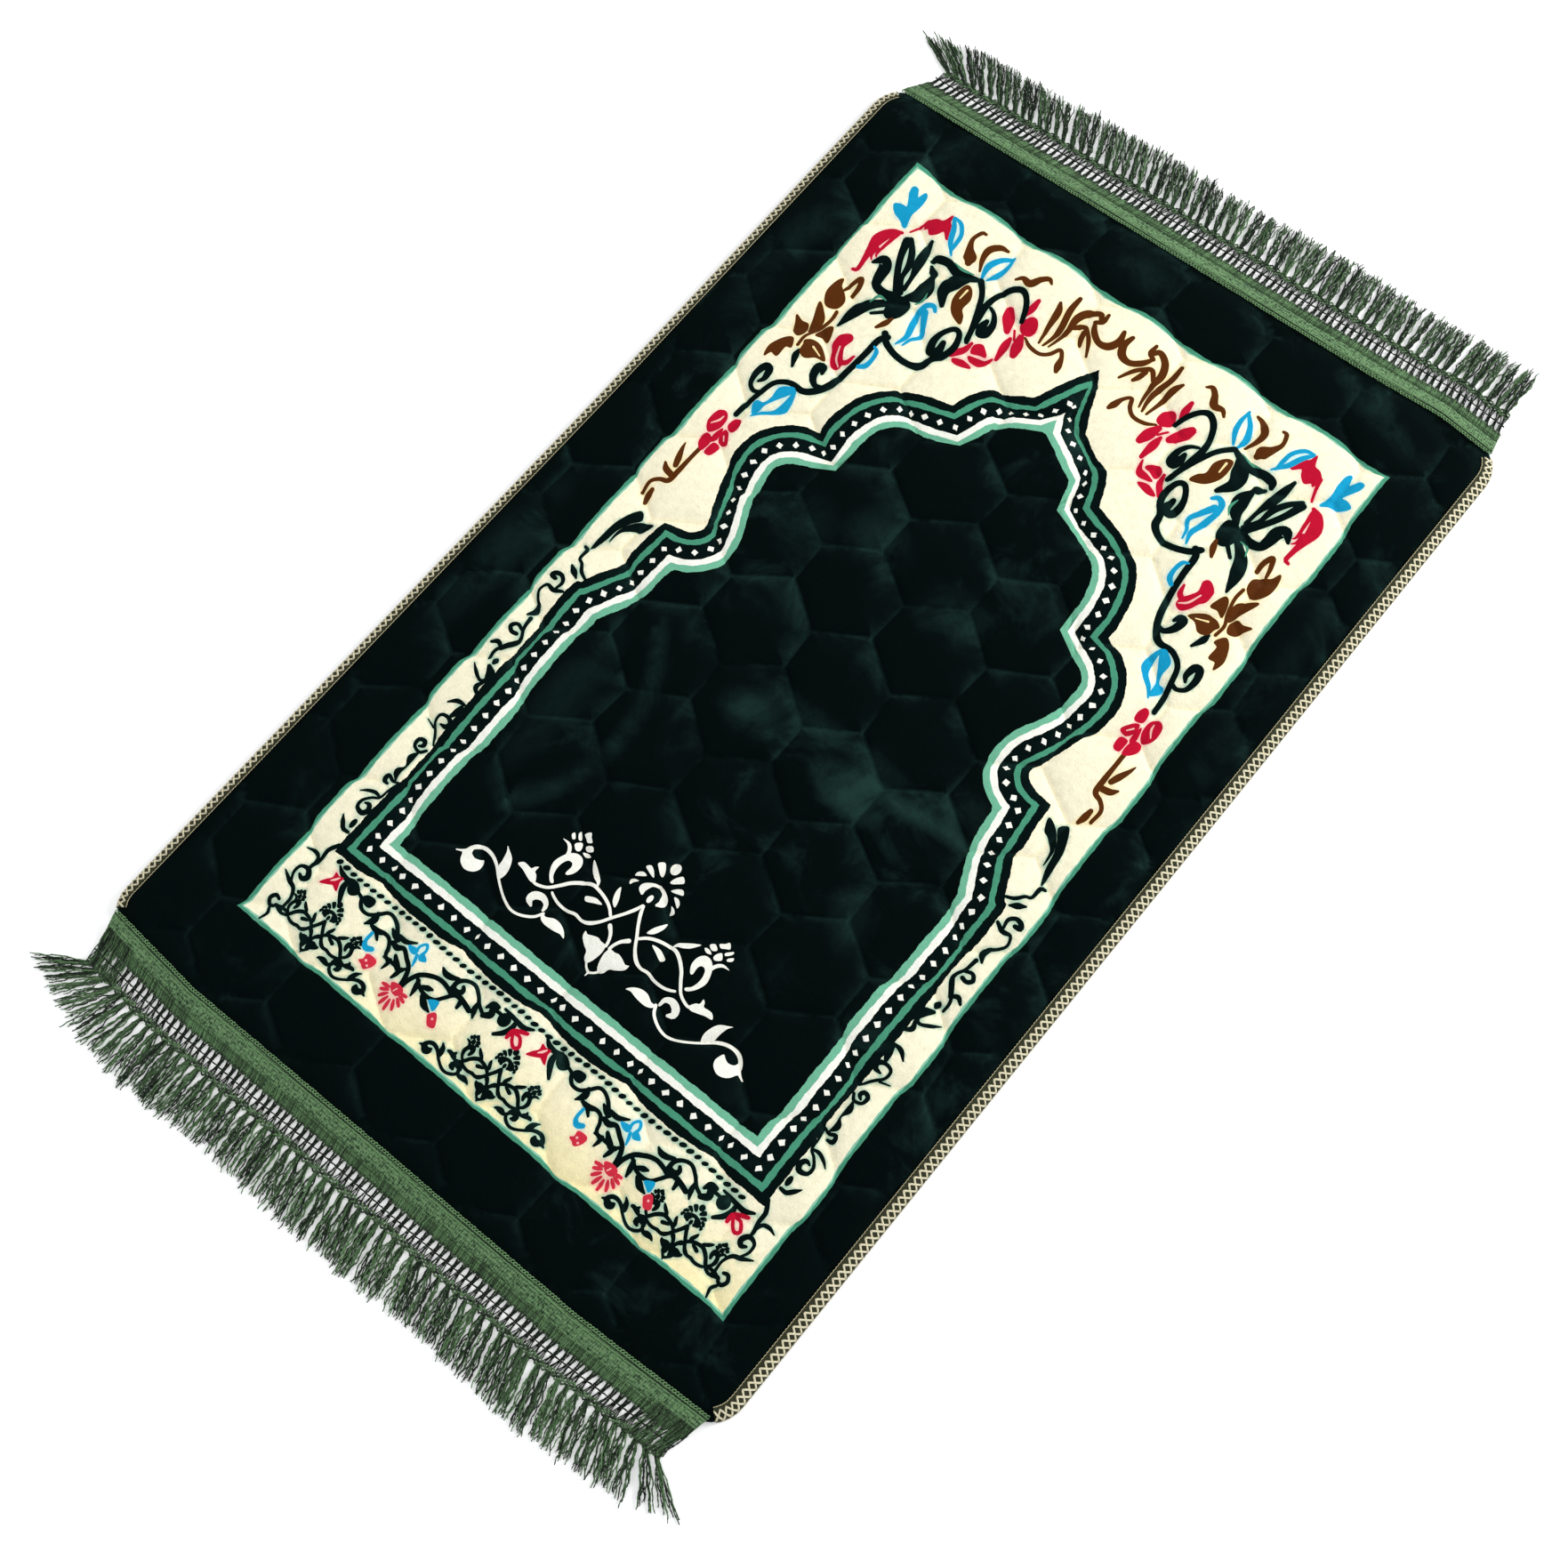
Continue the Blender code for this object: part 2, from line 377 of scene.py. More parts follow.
def brushed(points, widths):
    """Outline of a brush stroke, with rounded ends where it is broad."""
    path = smooth_line([(x, y, w) for (x, y), w in zip(points, widths)], step=1.8)
    middle, half = path[:, :2], np.maximum(path[:, 2] / 2, 0.3)
    side = normals_of(middle) * half[:, None]
    caps = []
    for end, across in ((-1, side[-1]), (0, -side[0])):
        forward = np.array([across[1], -across[0]])
        caps.append(np.array([middle[end] + across * cos(a) + forward * sin(a)
                              for a in (pi / 4, pi / 2, 3 * pi / 4)]))
    return np.vstack([middle + side, caps[0], (middle - side)[::-1], caps[1]])


class Pen:
    """Draws with one ink, in a frame of its own: moved, scaled, and mirrored where asked."""

    def __init__(self, ink, at=(0.0, 0.0), scale=(1.0, 1.0), width=1.0, grow=0.0, mirror=True,
                 again=None):
        self.ink = ink
        self.again = again                     # how far along the border the shape is repeated
        self.grow = grow
        self.at = np.array(at)
        self.scale = np.array(scale)
        self.width = width
        self.mirror = mirror

    def lay(self, line):
        motifs.append((line, self.ink))
        if self.again:
            motifs.append((line + np.array([self.again, 0.0]), self.ink))
        elif self.mirror:
            motifs.append((np.array([PRINT_WIDTH, 0.0]) + line * (-1, 1), self.ink))

    def stroke(self, points, widths):
        places = [tuple(self.at + self.scale * point) for point in points]
        self.lay(brushed(places, [width * self.width + self.grow for width in widths]))

    def petal(self, *points):
        line = smooth_line([self.at + self.scale * point for point in points], closed=True, step=1.8)
        self.lay(swollen(line, self.grow) if self.grow else line)

    def dot(self, x, y, rx, ry=None, turn=0.0):
        ring = [(cos(a), sin(a)) for a in np.linspace(0, 2 * pi, 9)[:-1]]
        ry = rx if ry is None else ry
        c, s = cos(radians(turn)), sin(radians(turn))
        self.petal(*[(x + rx * u * c - ry * v * s, y + rx * u * s + ry * v * c) for u, v in ring])


print("inks:", ", ".join(ink_names))

# %% [markdown]
# ### The niche
#
# The niche is one pointed outline with five lobes, and its bands all run beside that outline at a
# fixed distance. So the outline is drawn once, and each band is a copy of it, moved inwards with
# its corners kept sharp. Where a moved copy would fold over itself, at the outer corners, its
# points come closer to the outline than they should, and they are dropped.

# %% Border, niche and its bands
def oblong(left, low, right, high):
    corners = np.array([(left, low), (right, low), (right, high), (left, high)], dtype=float)
    sides = [smooth_line([a, b], step=4.0)[:-1] for a, b in zip(corners, np.roll(corners, -1, axis=0))]
    return np.vstack(sides)


grounds.append((oblong(0.4, 0.2, 559.6, 974.8), "teal"))
grounds.append((oblong(3.3, 3.2, 556.7, 971.4), "mint"))
grounds.append((oblong(4.6, 4.4, 555.4, 970.0), "cream"))

NICHE_RUNS = [[(280, 95), (150, 95), (33, 95)],
              [(33, 95), (33.5, 150), (33, 250), (31.5, 340), (30.5, 415), (36, 428), (44, 445),
               (52, 462), (54, 480), (55.8, 497), (57.5, 521)],
              [(57.5, 521), (67, 522), (77, 523.5), (84.5, 527), (88.8, 533.5), (88.6, 541.5), (85, 550),
               (79, 562), (73, 576), (68.4, 590), (65.6, 602), (63.6, 615), (62.8, 628), (66, 644.5),
               (75.5, 661), (90.5, 674.5), (105, 682), (111.7, 685)],
              [(111.7, 685), (111.2, 697), (113.5, 713), (118, 730), (126, 745.5), (137.5, 758.8),
               (152, 769.5), (167, 776), (185, 781), (193.5, 784)],
              [(193.5, 784), (197.6, 796), (202.6, 807), (211.3, 818.4), (226, 826), (238, 833),
               (248.5, 839)],
              [(248.5, 839), (255.5, 854), (267, 880.5), (280, 903)]]
left_side = np.vstack([smooth_line(run, step=1.2)[:-1] for run in NICHE_RUNS])
right_side = (np.array([PRINT_WIDTH, 0]) + left_side * (-1, 1))[:0:-1]
niche = np.vstack([left_side, NICHE_RUNS[-1][-1:], right_side])
NICHE_INSIDE = np.array([[280.0, 300.0]])


def moved_in(line, depth):
    """A closed line moved inwards, with its corners kept sharp."""
    ahead = np.roll(line, -1, axis=0) - line
    ahead /= np.linalg.norm(ahead, axis=1)[:, None]
    behind = np.roll(ahead, 1, axis=0)
    lefts = [np.column_stack([-way[:, 1], way[:, 0]]) for way in (behind, ahead)]
    middle = lefts[0] + lefts[1]
    middle /= np.linalg.norm(middle, axis=1)[:, None]
    stretch = 1 / np.maximum((middle * lefts[0]).sum(axis=1), 0.2)
    inward = -1 if winding(NICHE_INSIDE, line)[0] < 0 else 1
    made = line + inward * middle * (depth * stretch)[:, None]
    return made[distance_to(made, line) > depth - 0.12]


# Each band's distance in from the outline, and its ink.
BANDS = [(0.0, "dark"), (7.5, "teal"), (12.7, "dark"), (26.4, "chalk"), (32.2, "jade"),
         (38.2, "field")]
for depth, ink in BANDS:
    grounds.append((moved_in(niche, depth) if depth else niche, ink))

DIAMOND_PITCH = 14.5
DIAMOND_LINE = moved_in(niche, 19.6)
gaps = np.linalg.norm(np.roll(DIAMOND_LINE, -1, axis=0) - DIAMOND_LINE, axis=1)
run_length = np.concatenate([[0], np.cumsum(gaps)])
closed_line = np.vstack([DIAMOND_LINE, DIAMOND_LINE[:1]])
diamonds = round(run_length[-1] / DIAMOND_PITCH)
for index in range(diamonds):
    at = (index + 0.5) / diamonds * run_length[-1]
    x, y = (np.interp(at, run_length, closed_line[:, axis]) for axis in (0, 1))
    beyond = [np.interp(at + 2, run_length, closed_line[:, axis]) for axis in (0, 1)]
    way = np.array([beyond[0] - x, beyond[1] - y])
    way /= hypot(*way)
    side = np.array([-way[1], way[0]])
    size = 1 + 0.12 * sin(7 * index)
    tips = np.array([(x, y) + way * 3.1 * size, (x, y) + side * 3.4, (x, y) - way * 3.0 * size,
                     (x, y) - side * 3.4])
    tips += 0.35 * np.sin(tips[:, ::-1] * 3 + index)
    edges = [np.linspace(a, b, 3)[:2] for a, b in zip(tips, np.roll(tips, -1, axis=0))]
    grounds.append((np.vstack(edges), "chalk"))
print(diamonds, "diamonds in the dark band;", len(niche), "points round the niche")

# %% [markdown]
# ### The spray of flowers
#
# One spray, with a fan of petals over crossing vines, is printed large in white at the foot of the
# niche and small in dark ink three times along the lower border. It is drawn by one function, in
# the sizes of the large one. The small ones keep more of their breadth, as a printer would cut them.

# %% The spray
def spray(ink, at, scale, width, grow, tails=(1, -1)):
    """Half of the spray, right of its stem, and its mirror image to the left."""
    for way in (1, -1):
        pen = Pen(ink, at, (scale[0] * way, scale[1]), width, grow, mirror=False)
        pen.petal((4.5, 107), (5, 111), (8, 116), (11, 118), (15, 114), (11, 110), (7, 107))
        pen.petal((10, 102), (14, 106.5), (18.5, 108.5), (21.5, 105), (17, 103), (12, 101.5))
        pen.petal((16, 99), (20, 100), (24, 97), (24.5, 93), (21, 95))
        pen.petal((19, 91.5), (23, 90.5), (25.5, 87.5), (23, 84), (21.5, 88))
        pen.stroke([(0, 98.7), (6, 96.5), (10, 92), (11, 88), (8.5, 84)], [3, 4, 7.5, 8, 3])
        pen.stroke([(0.5, 76), (3, 69), (8, 60), (14, 51), (20, 41.5), (27, 34.5), (34, 32), (42, 33),
                    (50, 31), (60, 31), (67, 33), (71, 35)],
                   [2.5, 3.5, 3.2, 3.2, 3.2, 4, 3, 3.2, 3, 3, 2.8, 2.5])
        pen.stroke([(16.5, 51), (22, 56), (30, 60), (40, 62.5), (48, 63), (56, 59), (64, 52), (70, 44),
                    (77, 36), (86, 32), (91, 32)], [3, 3.2, 3.4, 3.4, 3.8, 3.8, 3.6, 3.4, 3, 3, 2.6])
        pen.petal((18.5, 59), (20, 66), (24, 73), (27, 77), (27.5, 71), (24, 62.5))
        pen.petal((29, 54), (36, 55.5), (41, 54), (46, 51), (43, 47.5), (36, 50.5))
        pen.petal((43, 63), (44.5, 69), (49, 73), (56, 78), (62, 81), (57, 73), (51, 68.5), (47, 67))
        pen.petal((71, 55.5), (67, 62), (67, 70), (71, 75.5), (77, 76), (83, 71.5), (87, 63), (88, 56),
                  (85, 48), (80, 42), (77, 41), (76, 43), (80, 47), (82, 54), (81.5, 61), (79, 66),
                  (75, 66.5), (73, 63), (73.5, 56))
        pen.petal((81, 69), (84, 76), (89, 79.5), (96, 78.5), (90, 77), (86, 73), (84, 68))
        pen.petal((73.5, 92), (77, 95), (80, 98.5), (84, 94), (80.5, 91.5), (77, 89.5))
        pen.petal((67.5, 86), (71, 89.5), (76, 86), (72.5, 83))
        pen.petal((66, 81), (70, 82.3), (74.5, 80), (70, 78.3))
        pen.petal((77.5, 79), (78, 83), (81, 86.5), (85, 82), (83, 79), (80, 77.5))
        pen.petal((83, 88), (86, 92), (88.5, 94), (89, 91), (85, 86.5))
        pen.petal((88, 85.5), (92, 89.5), (93, 86.5), (89.5, 83.5))
        pen.petal((89, 33), (92, 38), (95, 40), (95, 45), (98, 43), (99.5, 40), (105, 40.5), (109, 40),
                  (112, 36), (105, 34.5), (98, 32), (92, 30.5))
        pen.petal((2.5, 28), (8, 28.5), (12, 29.5), (17, 28), (22, 26), (25, 27.5), (24, 22), (18, 17),
                  (13, 14), (11, 9), (7, 6), (4, 9), (2, 15), (1, 22))
        pen.stroke([(8, 8.5), (4, 3.5), (0, 1)], [2.4, 2.2, 2.8])
        pen.stroke([(2, 28), (3, 33), (6, 39), (11, 44)], [3, 3, 3.5, 4.5])
        if way not in tails:
            continue
        pen.stroke([(67.5, 18), (69, 24), (75, 26.5), (81.5, 23.5), (83, 18), (79, 14.8)],
                   [3, 5, 7, 8, 7, 3])
        pen.petal((36, 10), (40, 15), (47, 18.5), (54, 18.5), (61, 15), (66, 16), (64, 11.5), (58, 9),
                  (48, 9.5), (41, 11))
        pen.stroke([(65, 16), (69, 9), (76, 4), (84, 1), (92, 1), (101, 4.5), (110, 10), (118, 16),
                    (126, 23), (135, 27.5), (144, 28.5), (151, 26), (156, 20), (157, 14)],
                   [3, 3, 3, 2.8, 2.8, 2.6, 2.5, 2.6, 3.2, 3.6, 4, 4.2, 4.5, 5])
        pen.petal((136, 13), (138.5, 19.5), (142, 17.5), (146.5, 16), (151.5, 18), (153.5, 22),
                  (158.5, 17), (157, 10), (153, 5), (146, 2.5), (139.5, 5), (136.5, 9))
        pen.stroke([(157, 17), (161, 14), (165, 12)], [4, 2.5, 1.5])
        pen.petal((116, 15), (114, 21), (115, 28), (119, 36), (127, 41), (130, 42.5), (127, 38),
                  (125, 30), (124, 22), (119, 16))
    pen = Pen(ink, at, scale, width, grow, mirror=False)
    pen.dot(0.5, 119.5, 4.9, 5.7)
    pen.dot(0.3, 84.5, 2.3, 4.2)
    pen.stroke([(0, 1), (0, -3)], [2.4, 1])


SPRAY_MIDDLE = 281.3
spray("chalk", (SPRAY_MIDDLE, 150.5), (1.0, 1.0), 0.9, 0.0)
for middle, tails in ((71.5, (1,)), (280, (1, -1)), (488.5, (-1,))):
    spray("dark", (middle, 8), (0.43, 0.43), 0.84, 0.7, tails)
print("sprays:", 1 + 3)

# %% [markdown]
# ### The side scroll
#
# Up each side, between the border and the niche, climbs a thin dark scroll with curled tips and
# little buds. Above it come heavier vines with coloured flowers. A stroke's second list is its
# width at each of its points, so a leaf is a stroke that swells and a tendril one that thins out.

# %% Side scroll, lower part
dark = Pen("dark", grow=0.35)
dark.stroke([(23, 6), (25, 14), (22, 20), (28, 25), (37, 26)], [1.5, 3, 2.5, 3, 3])
dark.stroke([(24, 30), (20, 31), (17, 26), (20, 21), (24, 22)], [3, 3.5, 3.5, 3.5, 3])
dark.stroke([(31, 27), (31, 37), (27, 45), (20, 48), (11, 53)], [2.5, 2.5, 3.5, 4, 1.2])
dark.stroke([(22, 48), (18, 56), (19, 64), (26, 66), (30, 60), (27, 56), (23, 58)],
            [2, 2.5, 3, 4.5, 5, 4.5, 2.5])
dark.stroke([(26, 66), (26, 72), (28, 80), (28, 90), (33, 99)], [2.5, 3.5, 3.5, 4, 4])
dark.stroke([(26, 73), (24, 80), (18, 82), (11, 80)], [2, 3.5, 3.5, 1.2])
dark.stroke([(31, 113), (25, 113), (20, 118), (16, 123)], [3, 4, 4, 1])
dark.dot(29, 122, 2.4, 4.8)
dark.stroke([(34, 176), (32, 165), (31, 155), (25, 150), (20, 143), (21, 136), (28, 134), (31, 139),
             (28, 144), (24, 143)], [2, 2, 2.5, 2.5, 3, 3.5, 5, 5, 4, 2])
dark.stroke([(31, 155), (24, 156), (17, 153), (12, 149)], [2, 3.5, 3, 1])
dark.stroke([(34, 176), (28, 174), (22, 176), (21, 170), (26, 169)], [2, 3, 3.5, 4, 2.5])
dark.stroke([(29, 176), (26, 183), (29, 191), (27, 200), (29, 208)], [1.5, 6, 1.5, 6, 1.5])
dark.stroke([(33, 214), (29, 209), (22, 211), (21, 218), (26, 220), (28, 216), (25, 213)],
            [2.5, 3, 3, 4, 4, 4, 2])
dark.stroke([(34, 222), (27, 232), (20, 240), (20, 248), (27, 250), (33, 247), (32, 242), (26, 241)],
            [1.5, 2.5, 2.5, 3, 3.5, 5, 5, 2])
dark.stroke([(22, 235), (13, 238)], [2, 1])
dark.stroke([(17, 261), (24, 267), (33, 268)], [1.5, 4.5, 2])
dark.stroke([(29, 253), (31, 259), (31, 266)], [4, 7, 3])
dark.stroke([(34, 282), (28, 288), (31, 296)], [2, 5, 2])
dark.stroke([(10, 305), (18, 299), (26, 295), (31, 298), (30, 305), (23, 311)], [1, 3.5, 3, 6, 9, 4])
dark.petal((27, 318), (24, 322), (21, 319), (24, 314))
dark.stroke([(17, 317), (17, 326), (22, 336), (28, 345)], [2.5, 3, 3, 3])
dark.stroke([(9, 330), (14, 334), (20, 331)], [2.5, 4.5, 3])
dark.stroke([(20, 330), (28, 343), (28, 350), (24, 358), (22, 370)], [3, 4, 3, 3, 4])
dark.stroke([(24, 356), (17, 358), (13, 353), (17, 349), (22, 350)], [3, 3.5, 4, 4, 4])
dark.stroke([(17, 371), (21, 378), (18, 386)], [2, 6, 3])
dark.stroke([(20, 384), (13, 390), (9, 397), (12, 405), (20, 404), (28, 408)], [3, 2.5, 2.5, 3, 4.5, 3])
dark.stroke([(21, 407), (22, 415), (17, 420), (11, 419), (9, 415), (14, 414)], [2.5, 3.5, 4, 5, 5, 4])
dark.stroke([(17, 434), (23, 430), (29, 426)], [2, 6, 2])
dark.stroke([(37, 430), (29, 434), (23, 441), (18, 444), (17, 455), (13, 457)], [2.5, 3.5, 3, 3, 4, 3])
dark.petal((18, 458), (19, 478), (22, 497), (31, 516), (38, 510), (32, 500), (27, 488), (24, 472))
dark.petal((28, 474), (31, 488), (40, 497), (46, 500), (50, 512), (40, 508), (33, 500), (28, 488))
print("side scroll, lower part:", len(motifs), "shapes so far")

# %% Side scroll, from the shoulder of the niche upwards
brown, red = Pen("brown", grow=0.55), Pen("red", grow=0.5)
blue, plain = Pen("blue", grow=0.5), Pen("pink")
full = Pen("dark", grow=1.0)
brown.stroke([(25, 540), (26, 532), (28, 525)], [4, 6, 3])
brown.stroke([(19, 532), (18, 545), (24, 552), (32, 556), (33, 570), (33, 585), (33, 600)],
             [3, 3.5, 4, 5, 5, 4, 4])
brown.stroke([(27, 572), (24, 580), (20, 590), (18, 597)], [5, 6, 3.5, 1])
brown.stroke([(17, 569), (22, 564), (30, 562)], [2, 6, 6])
red.petal((20, 635), (22, 643), (28, 646), (33, 640), (33, 628), (27, 620), (21, 626))
red.petal((39, 646), (44, 648), (47, 640), (45, 633), (38, 636))
red.petal((39, 632), (44, 629), (50, 619), (43, 617), (38, 624))
red.petal((27, 618), (33, 617), (36, 610), (35, 600), (29, 603), (25, 611))
red.petal((39, 614), (46, 613), (45, 601), (39, 600), (38, 607))
red.petal((33, 619), (36, 631), (38, 618), (35, 613))
plain.stroke([(24, 628), (28, 635), (29, 641)], [1, 2, 1])
plain.stroke([(41, 626), (45, 621)], [1.6, 1])
full.stroke([(36, 650), (37, 665), (40, 680), (45, 698), (57, 707), (72, 708), (82, 718), (88, 733),
             (92, 755), (94, 775), (95, 795), (100, 803)],
            [4, 4.5, 4.5, 4.5, 5, 6, 6, 6, 5.5, 5.5, 6, 6])
full.stroke([(40, 682), (33, 680), (26, 685), (24, 697), (27, 707), (32, 706), (34, 696), (31, 690)],
            [3.5, 3.5, 4, 6, 7, 7, 5, 2])
full.stroke([(84, 722), (76, 720), (69, 727), (67, 738), (71, 741), (74, 734)], [5, 5, 7, 8, 6, 3])
full.stroke([(41, 740), (42, 733), (47, 722)], [3, 6, 2])
blue.petal((49, 660), (42, 668), (43, 674), (49, 676), (52, 684), (52, 697), (62, 705), (66, 702),
           (62, 694), (56, 684), (51, 674))
blue.petal((66, 704), (71, 692), (71, 680), (64, 672), (55, 665), (48, 657), (53, 668), (62, 677),
           (65, 690))
red.petal((61, 771), (62, 778), (70, 784), (75, 780), (73, 770), (77, 762), (82, 755), (82, 748),
          (76, 746), (70, 752), (66, 760), (62, 765))
red.stroke([(79, 754), (85, 758), (87, 767)], [5, 5, 2])
plain.stroke([(69, 768), (74, 756), (81, 750)], [1.4, 2, 1])
blue.stroke([(96, 787), (101, 784), (103, 775), (102, 766), (97, 761)], [1.5, 4, 4, 5, 4])
brown.petal((18, 715), (15, 727), (20, 742), (27, 748), (33, 738), (28, 735), (28, 722), (21, 722))
brown.petal((14, 770), (22, 768), (29, 769), (32, 761), (29, 753), (22, 755), (18, 763))
brown.petal((23, 794), (33, 788), (39, 780), (39, 765), (34, 763), (30, 775))
brown.petal((42, 764), (45, 777), (50, 781), (54, 774), (56, 765), (49, 766))
brown.petal((38, 753), (45, 758), (55, 757), (67, 747), (58, 744), (50, 737), (42, 740), (40, 748))
Pen("sand").stroke([(49, 752), (60, 748)], [2.2, 1.2])
brown.stroke([(36, 744), (35, 757), (40, 770), (43, 785), (42, 797)], [3, 3, 3, 3, 3])
brown.petal((21, 822), (24, 830), (28, 822), (35, 817), (41, 810), (40, 800), (33, 795), (27, 797),
            (21, 808))
brown.stroke([(33, 820), (35, 830), (39, 839), (43, 830), (43, 820)], [2.5, 4, 5, 5, 4])
print("side scroll:", len(motifs), "shapes so far")

# %% [markdown]
# ### The flowers over the niche
#
# The upper corners are filled with flowers in four inks along the top border, and heavy dark
# scrolls that gather at one boss on each side. The thickest scrolls have a paler teal edge, left
# where the two inks did not quite meet.

# %% Flowers along the top
blue.petal((15, 952), (20, 953), (26, 945), (29, 954), (33, 950), (34, 938), (33, 925), (36, 911),
           (28, 915), (18, 918), (12, 925), (18, 929), (24, 930), (20, 938), (16, 945))
red.stroke([(38, 904), (30, 898), (25, 885), (26, 870), (28, 857), (29, 845), (25, 843)],
           [4, 10, 13, 8, 5, 4, 3])
red.stroke([(36, 900), (35, 885), (34, 870), (36, 866)], [5, 3.5, 2.5, 1])
red.stroke([(31, 875), (31, 865), (34, 861)], [3, 2.5, 1])
red.stroke([(44, 910), (48, 922), (50, 932)], [2, 3, 4])
red.petal((49, 932), (55, 938), (62, 940), (66, 950), (69, 942), (76, 937), (80, 928), (77, 924),
          (70, 930), (66, 924), (60, 920), (55, 924), (52, 922), (50, 928))
blue.stroke([(69, 948), (76, 938), (82, 925), (92, 913)], [3, 5, 5, 1.5])
blue.stroke([(69, 949), (78, 947), (86, 937), (88, 925), (89, 915)], [3, 4, 4, 4, 1.5])
brown.stroke([(105, 952), (101, 951), (98, 940), (102, 930), (108, 922), (110, 917)],
             [3, 4, 4, 7, 13, 7])
brown.stroke([(133, 951), (125, 949), (118, 940), (119, 928), (124, 917)], [3, 6, 7, 5, 2])
blue.stroke([(142, 948), (133, 938), (128, 925), (130, 912)], [3, 5, 6, 2])
blue.stroke([(142, 950), (143, 937), (141, 925), (135, 914)], [2, 4, 5, 2])
brown.stroke([(158, 930), (163, 935), (172, 934), (178, 944), (184, 949), (189, 946)],
             [2.5, 5, 8, 6, 5, 2])
brown.stroke([(208, 935), (212, 925), (214, 905), (217, 888)], [3, 7, 4, 2])
brown.stroke([(220, 951), (220, 935), (224, 915), (224, 900), (222, 888)], [4, 6, 6, 4, 2])
brown.stroke([(231, 918), (230, 932), (235, 944), (245, 950), (250, 944)], [5, 7, 7, 6, 4])
brown.stroke([(246, 940), (252, 944), (252, 954)], [4, 5, 3])
brown.stroke([(233, 922), (240, 930), (247, 926), (254, 918), (261, 905)], [4, 5, 4, 4, 2])
brown.stroke([(244, 925), (246, 917), (249, 911)], [5, 5, 3])
brown.stroke([(246, 940), (252, 930), (262, 923), (272, 925), (277, 935), (275, 947)],
             [3, 6, 6, 8, 7, 4])
brown.stroke([(231, 918), (229, 900), (227, 890)], [5, 3, 1.5])
brown.stroke([(203, 885), (213, 879), (225, 878), (233, 884), (238, 894), (244, 888), (247, 878),
              (249, 872)], [2, 4, 4, 4, 4, 4, 7, 4])
red.stroke([(190, 924), (190, 913), (189, 903)], [4, 7, 2])
red.petal((191, 897), (195, 906), (201, 907), (206, 900), (206, 890), (200, 887), (193, 891))
red.stroke([(173, 901), (178, 892), (185, 880)], [8, 12, 6])
red.stroke([(199, 884), (203, 872), (206, 862)], [6, 11, 7])
red.stroke([(192, 877), (193, 866), (195, 850)], [3, 8, 4])
red.stroke([(190, 886), (196, 877)], [2, 2])
red.petal((170, 848), (176, 853), (183, 849), (186, 845), (180, 843), (172, 840))
red.petal((192, 849), (191, 838), (186, 832), (176, 833), (172, 836), (180, 839), (188, 842))
red.petal((161, 825), (168, 829), (174, 830), (182, 826), (172, 822), (165, 822))
red.stroke([(167, 848), (165, 838), (157, 828)], [3, 6, 7])
print("flowers along the top:", len(motifs), "shapes so far")

# %% Heavy scrolls and their boss
full.stroke([(190, 897), (185, 910), (178, 920), (170, 924), (161, 918), (155, 905), (153, 890),
             (155, 875), (158, 860), (161, 848)], [4, 5, 5, 6, 6, 5, 6, 6, 5, 5])
full.stroke([(131, 910), (142, 897), (150, 880), (157, 862), (162, 846)], [6, 5, 5, 5, 4])
full.stroke([(158, 890), (165, 886), (171, 876), (171, 864), (166, 860), (164, 868), (164, 876)],
            [3, 4, 6, 8, 6, 8, 4])
full.stroke([(131, 910), (120, 905), (108, 902), (95, 905), (84, 903), (81, 898)], [4, 8, 8, 8, 8, 4])
full.stroke([(84, 893), (90, 888), (93, 884)], [3, 8, 3])
full.stroke([(48, 900), (55, 880), (65, 862), (76, 847)], [8, 6, 6, 7])
full.stroke([(50, 904), (60, 892), (67, 878), (70, 863), (78, 850)], [4, 6, 6, 4, 6])
full.stroke([(67, 915), (70, 900), (73, 885), (77, 870), (79, 855)], [3, 8, 9, 4, 4])
full.stroke([(37, 860), (44, 868), (50, 862), (52, 850), (55, 842), (65, 840), (75, 843)],
            [3, 10, 12, 10, 8, 8, 8])
full.stroke([(53, 785), (56, 805), (61, 820), (70, 830), (78, 838)], [2, 12, 12, 8, 8])
full.stroke([(92, 884), (95, 870), (93, 858), (85, 848)], [4, 14, 12, 4])
full.stroke([(122, 905), (113, 893), (110, 878), (119, 863)], [5, 16, 12, 4])
full.petal((76, 842), (84, 848), (93, 846), (95, 835), (92, 825), (85, 820), (78, 826))
full.stroke([(70, 815), (80, 825)], [3, 4])
brown.petal((124, 897), (122, 885), (124, 873), (132, 862), (145, 857), (143, 865), (137, 872),
            (137, 885), (131, 895))
Pen("sand").stroke([(128, 892), (128, 880)], [2.4, 1.4])
blue.stroke([(105, 845), (107, 855), (113, 858), (118, 854)], [5, 6, 5, 3])
blue.stroke([(105, 846), (109, 830), (113, 815), (110, 802)], [5, 6, 5, 1.5])
blue.stroke([(110, 848), (118, 835), (123, 825), (118, 815), (116, 805)], [7, 5, 4, 3, 1.5])
full.stroke([(95, 805), (103, 797), (118, 792), (133, 793), (143, 800), (146, 812), (153, 822),
             (156, 835), (152, 848), (145, 850), (138, 840), (136, 828), (140, 818), (146, 822),
             (145, 832)], [6, 6, 6, 6, 7, 6, 6, 6, 5, 5, 5, 7, 8, 8, 5])
brown.stroke([(84, 805), (88, 814), (90, 822)], [3, 6, 3])
pale_edge = Pen("teal")
for points in ([(100, 909), (110, 908), (122, 911)], [(60, 826), (64, 835), (72, 836)],
               [(98, 868), (100, 858), (96, 850)]):
    pale_edge.stroke(points, [1, 3, 1])
print("with the upper corners:", len(motifs), "shapes")

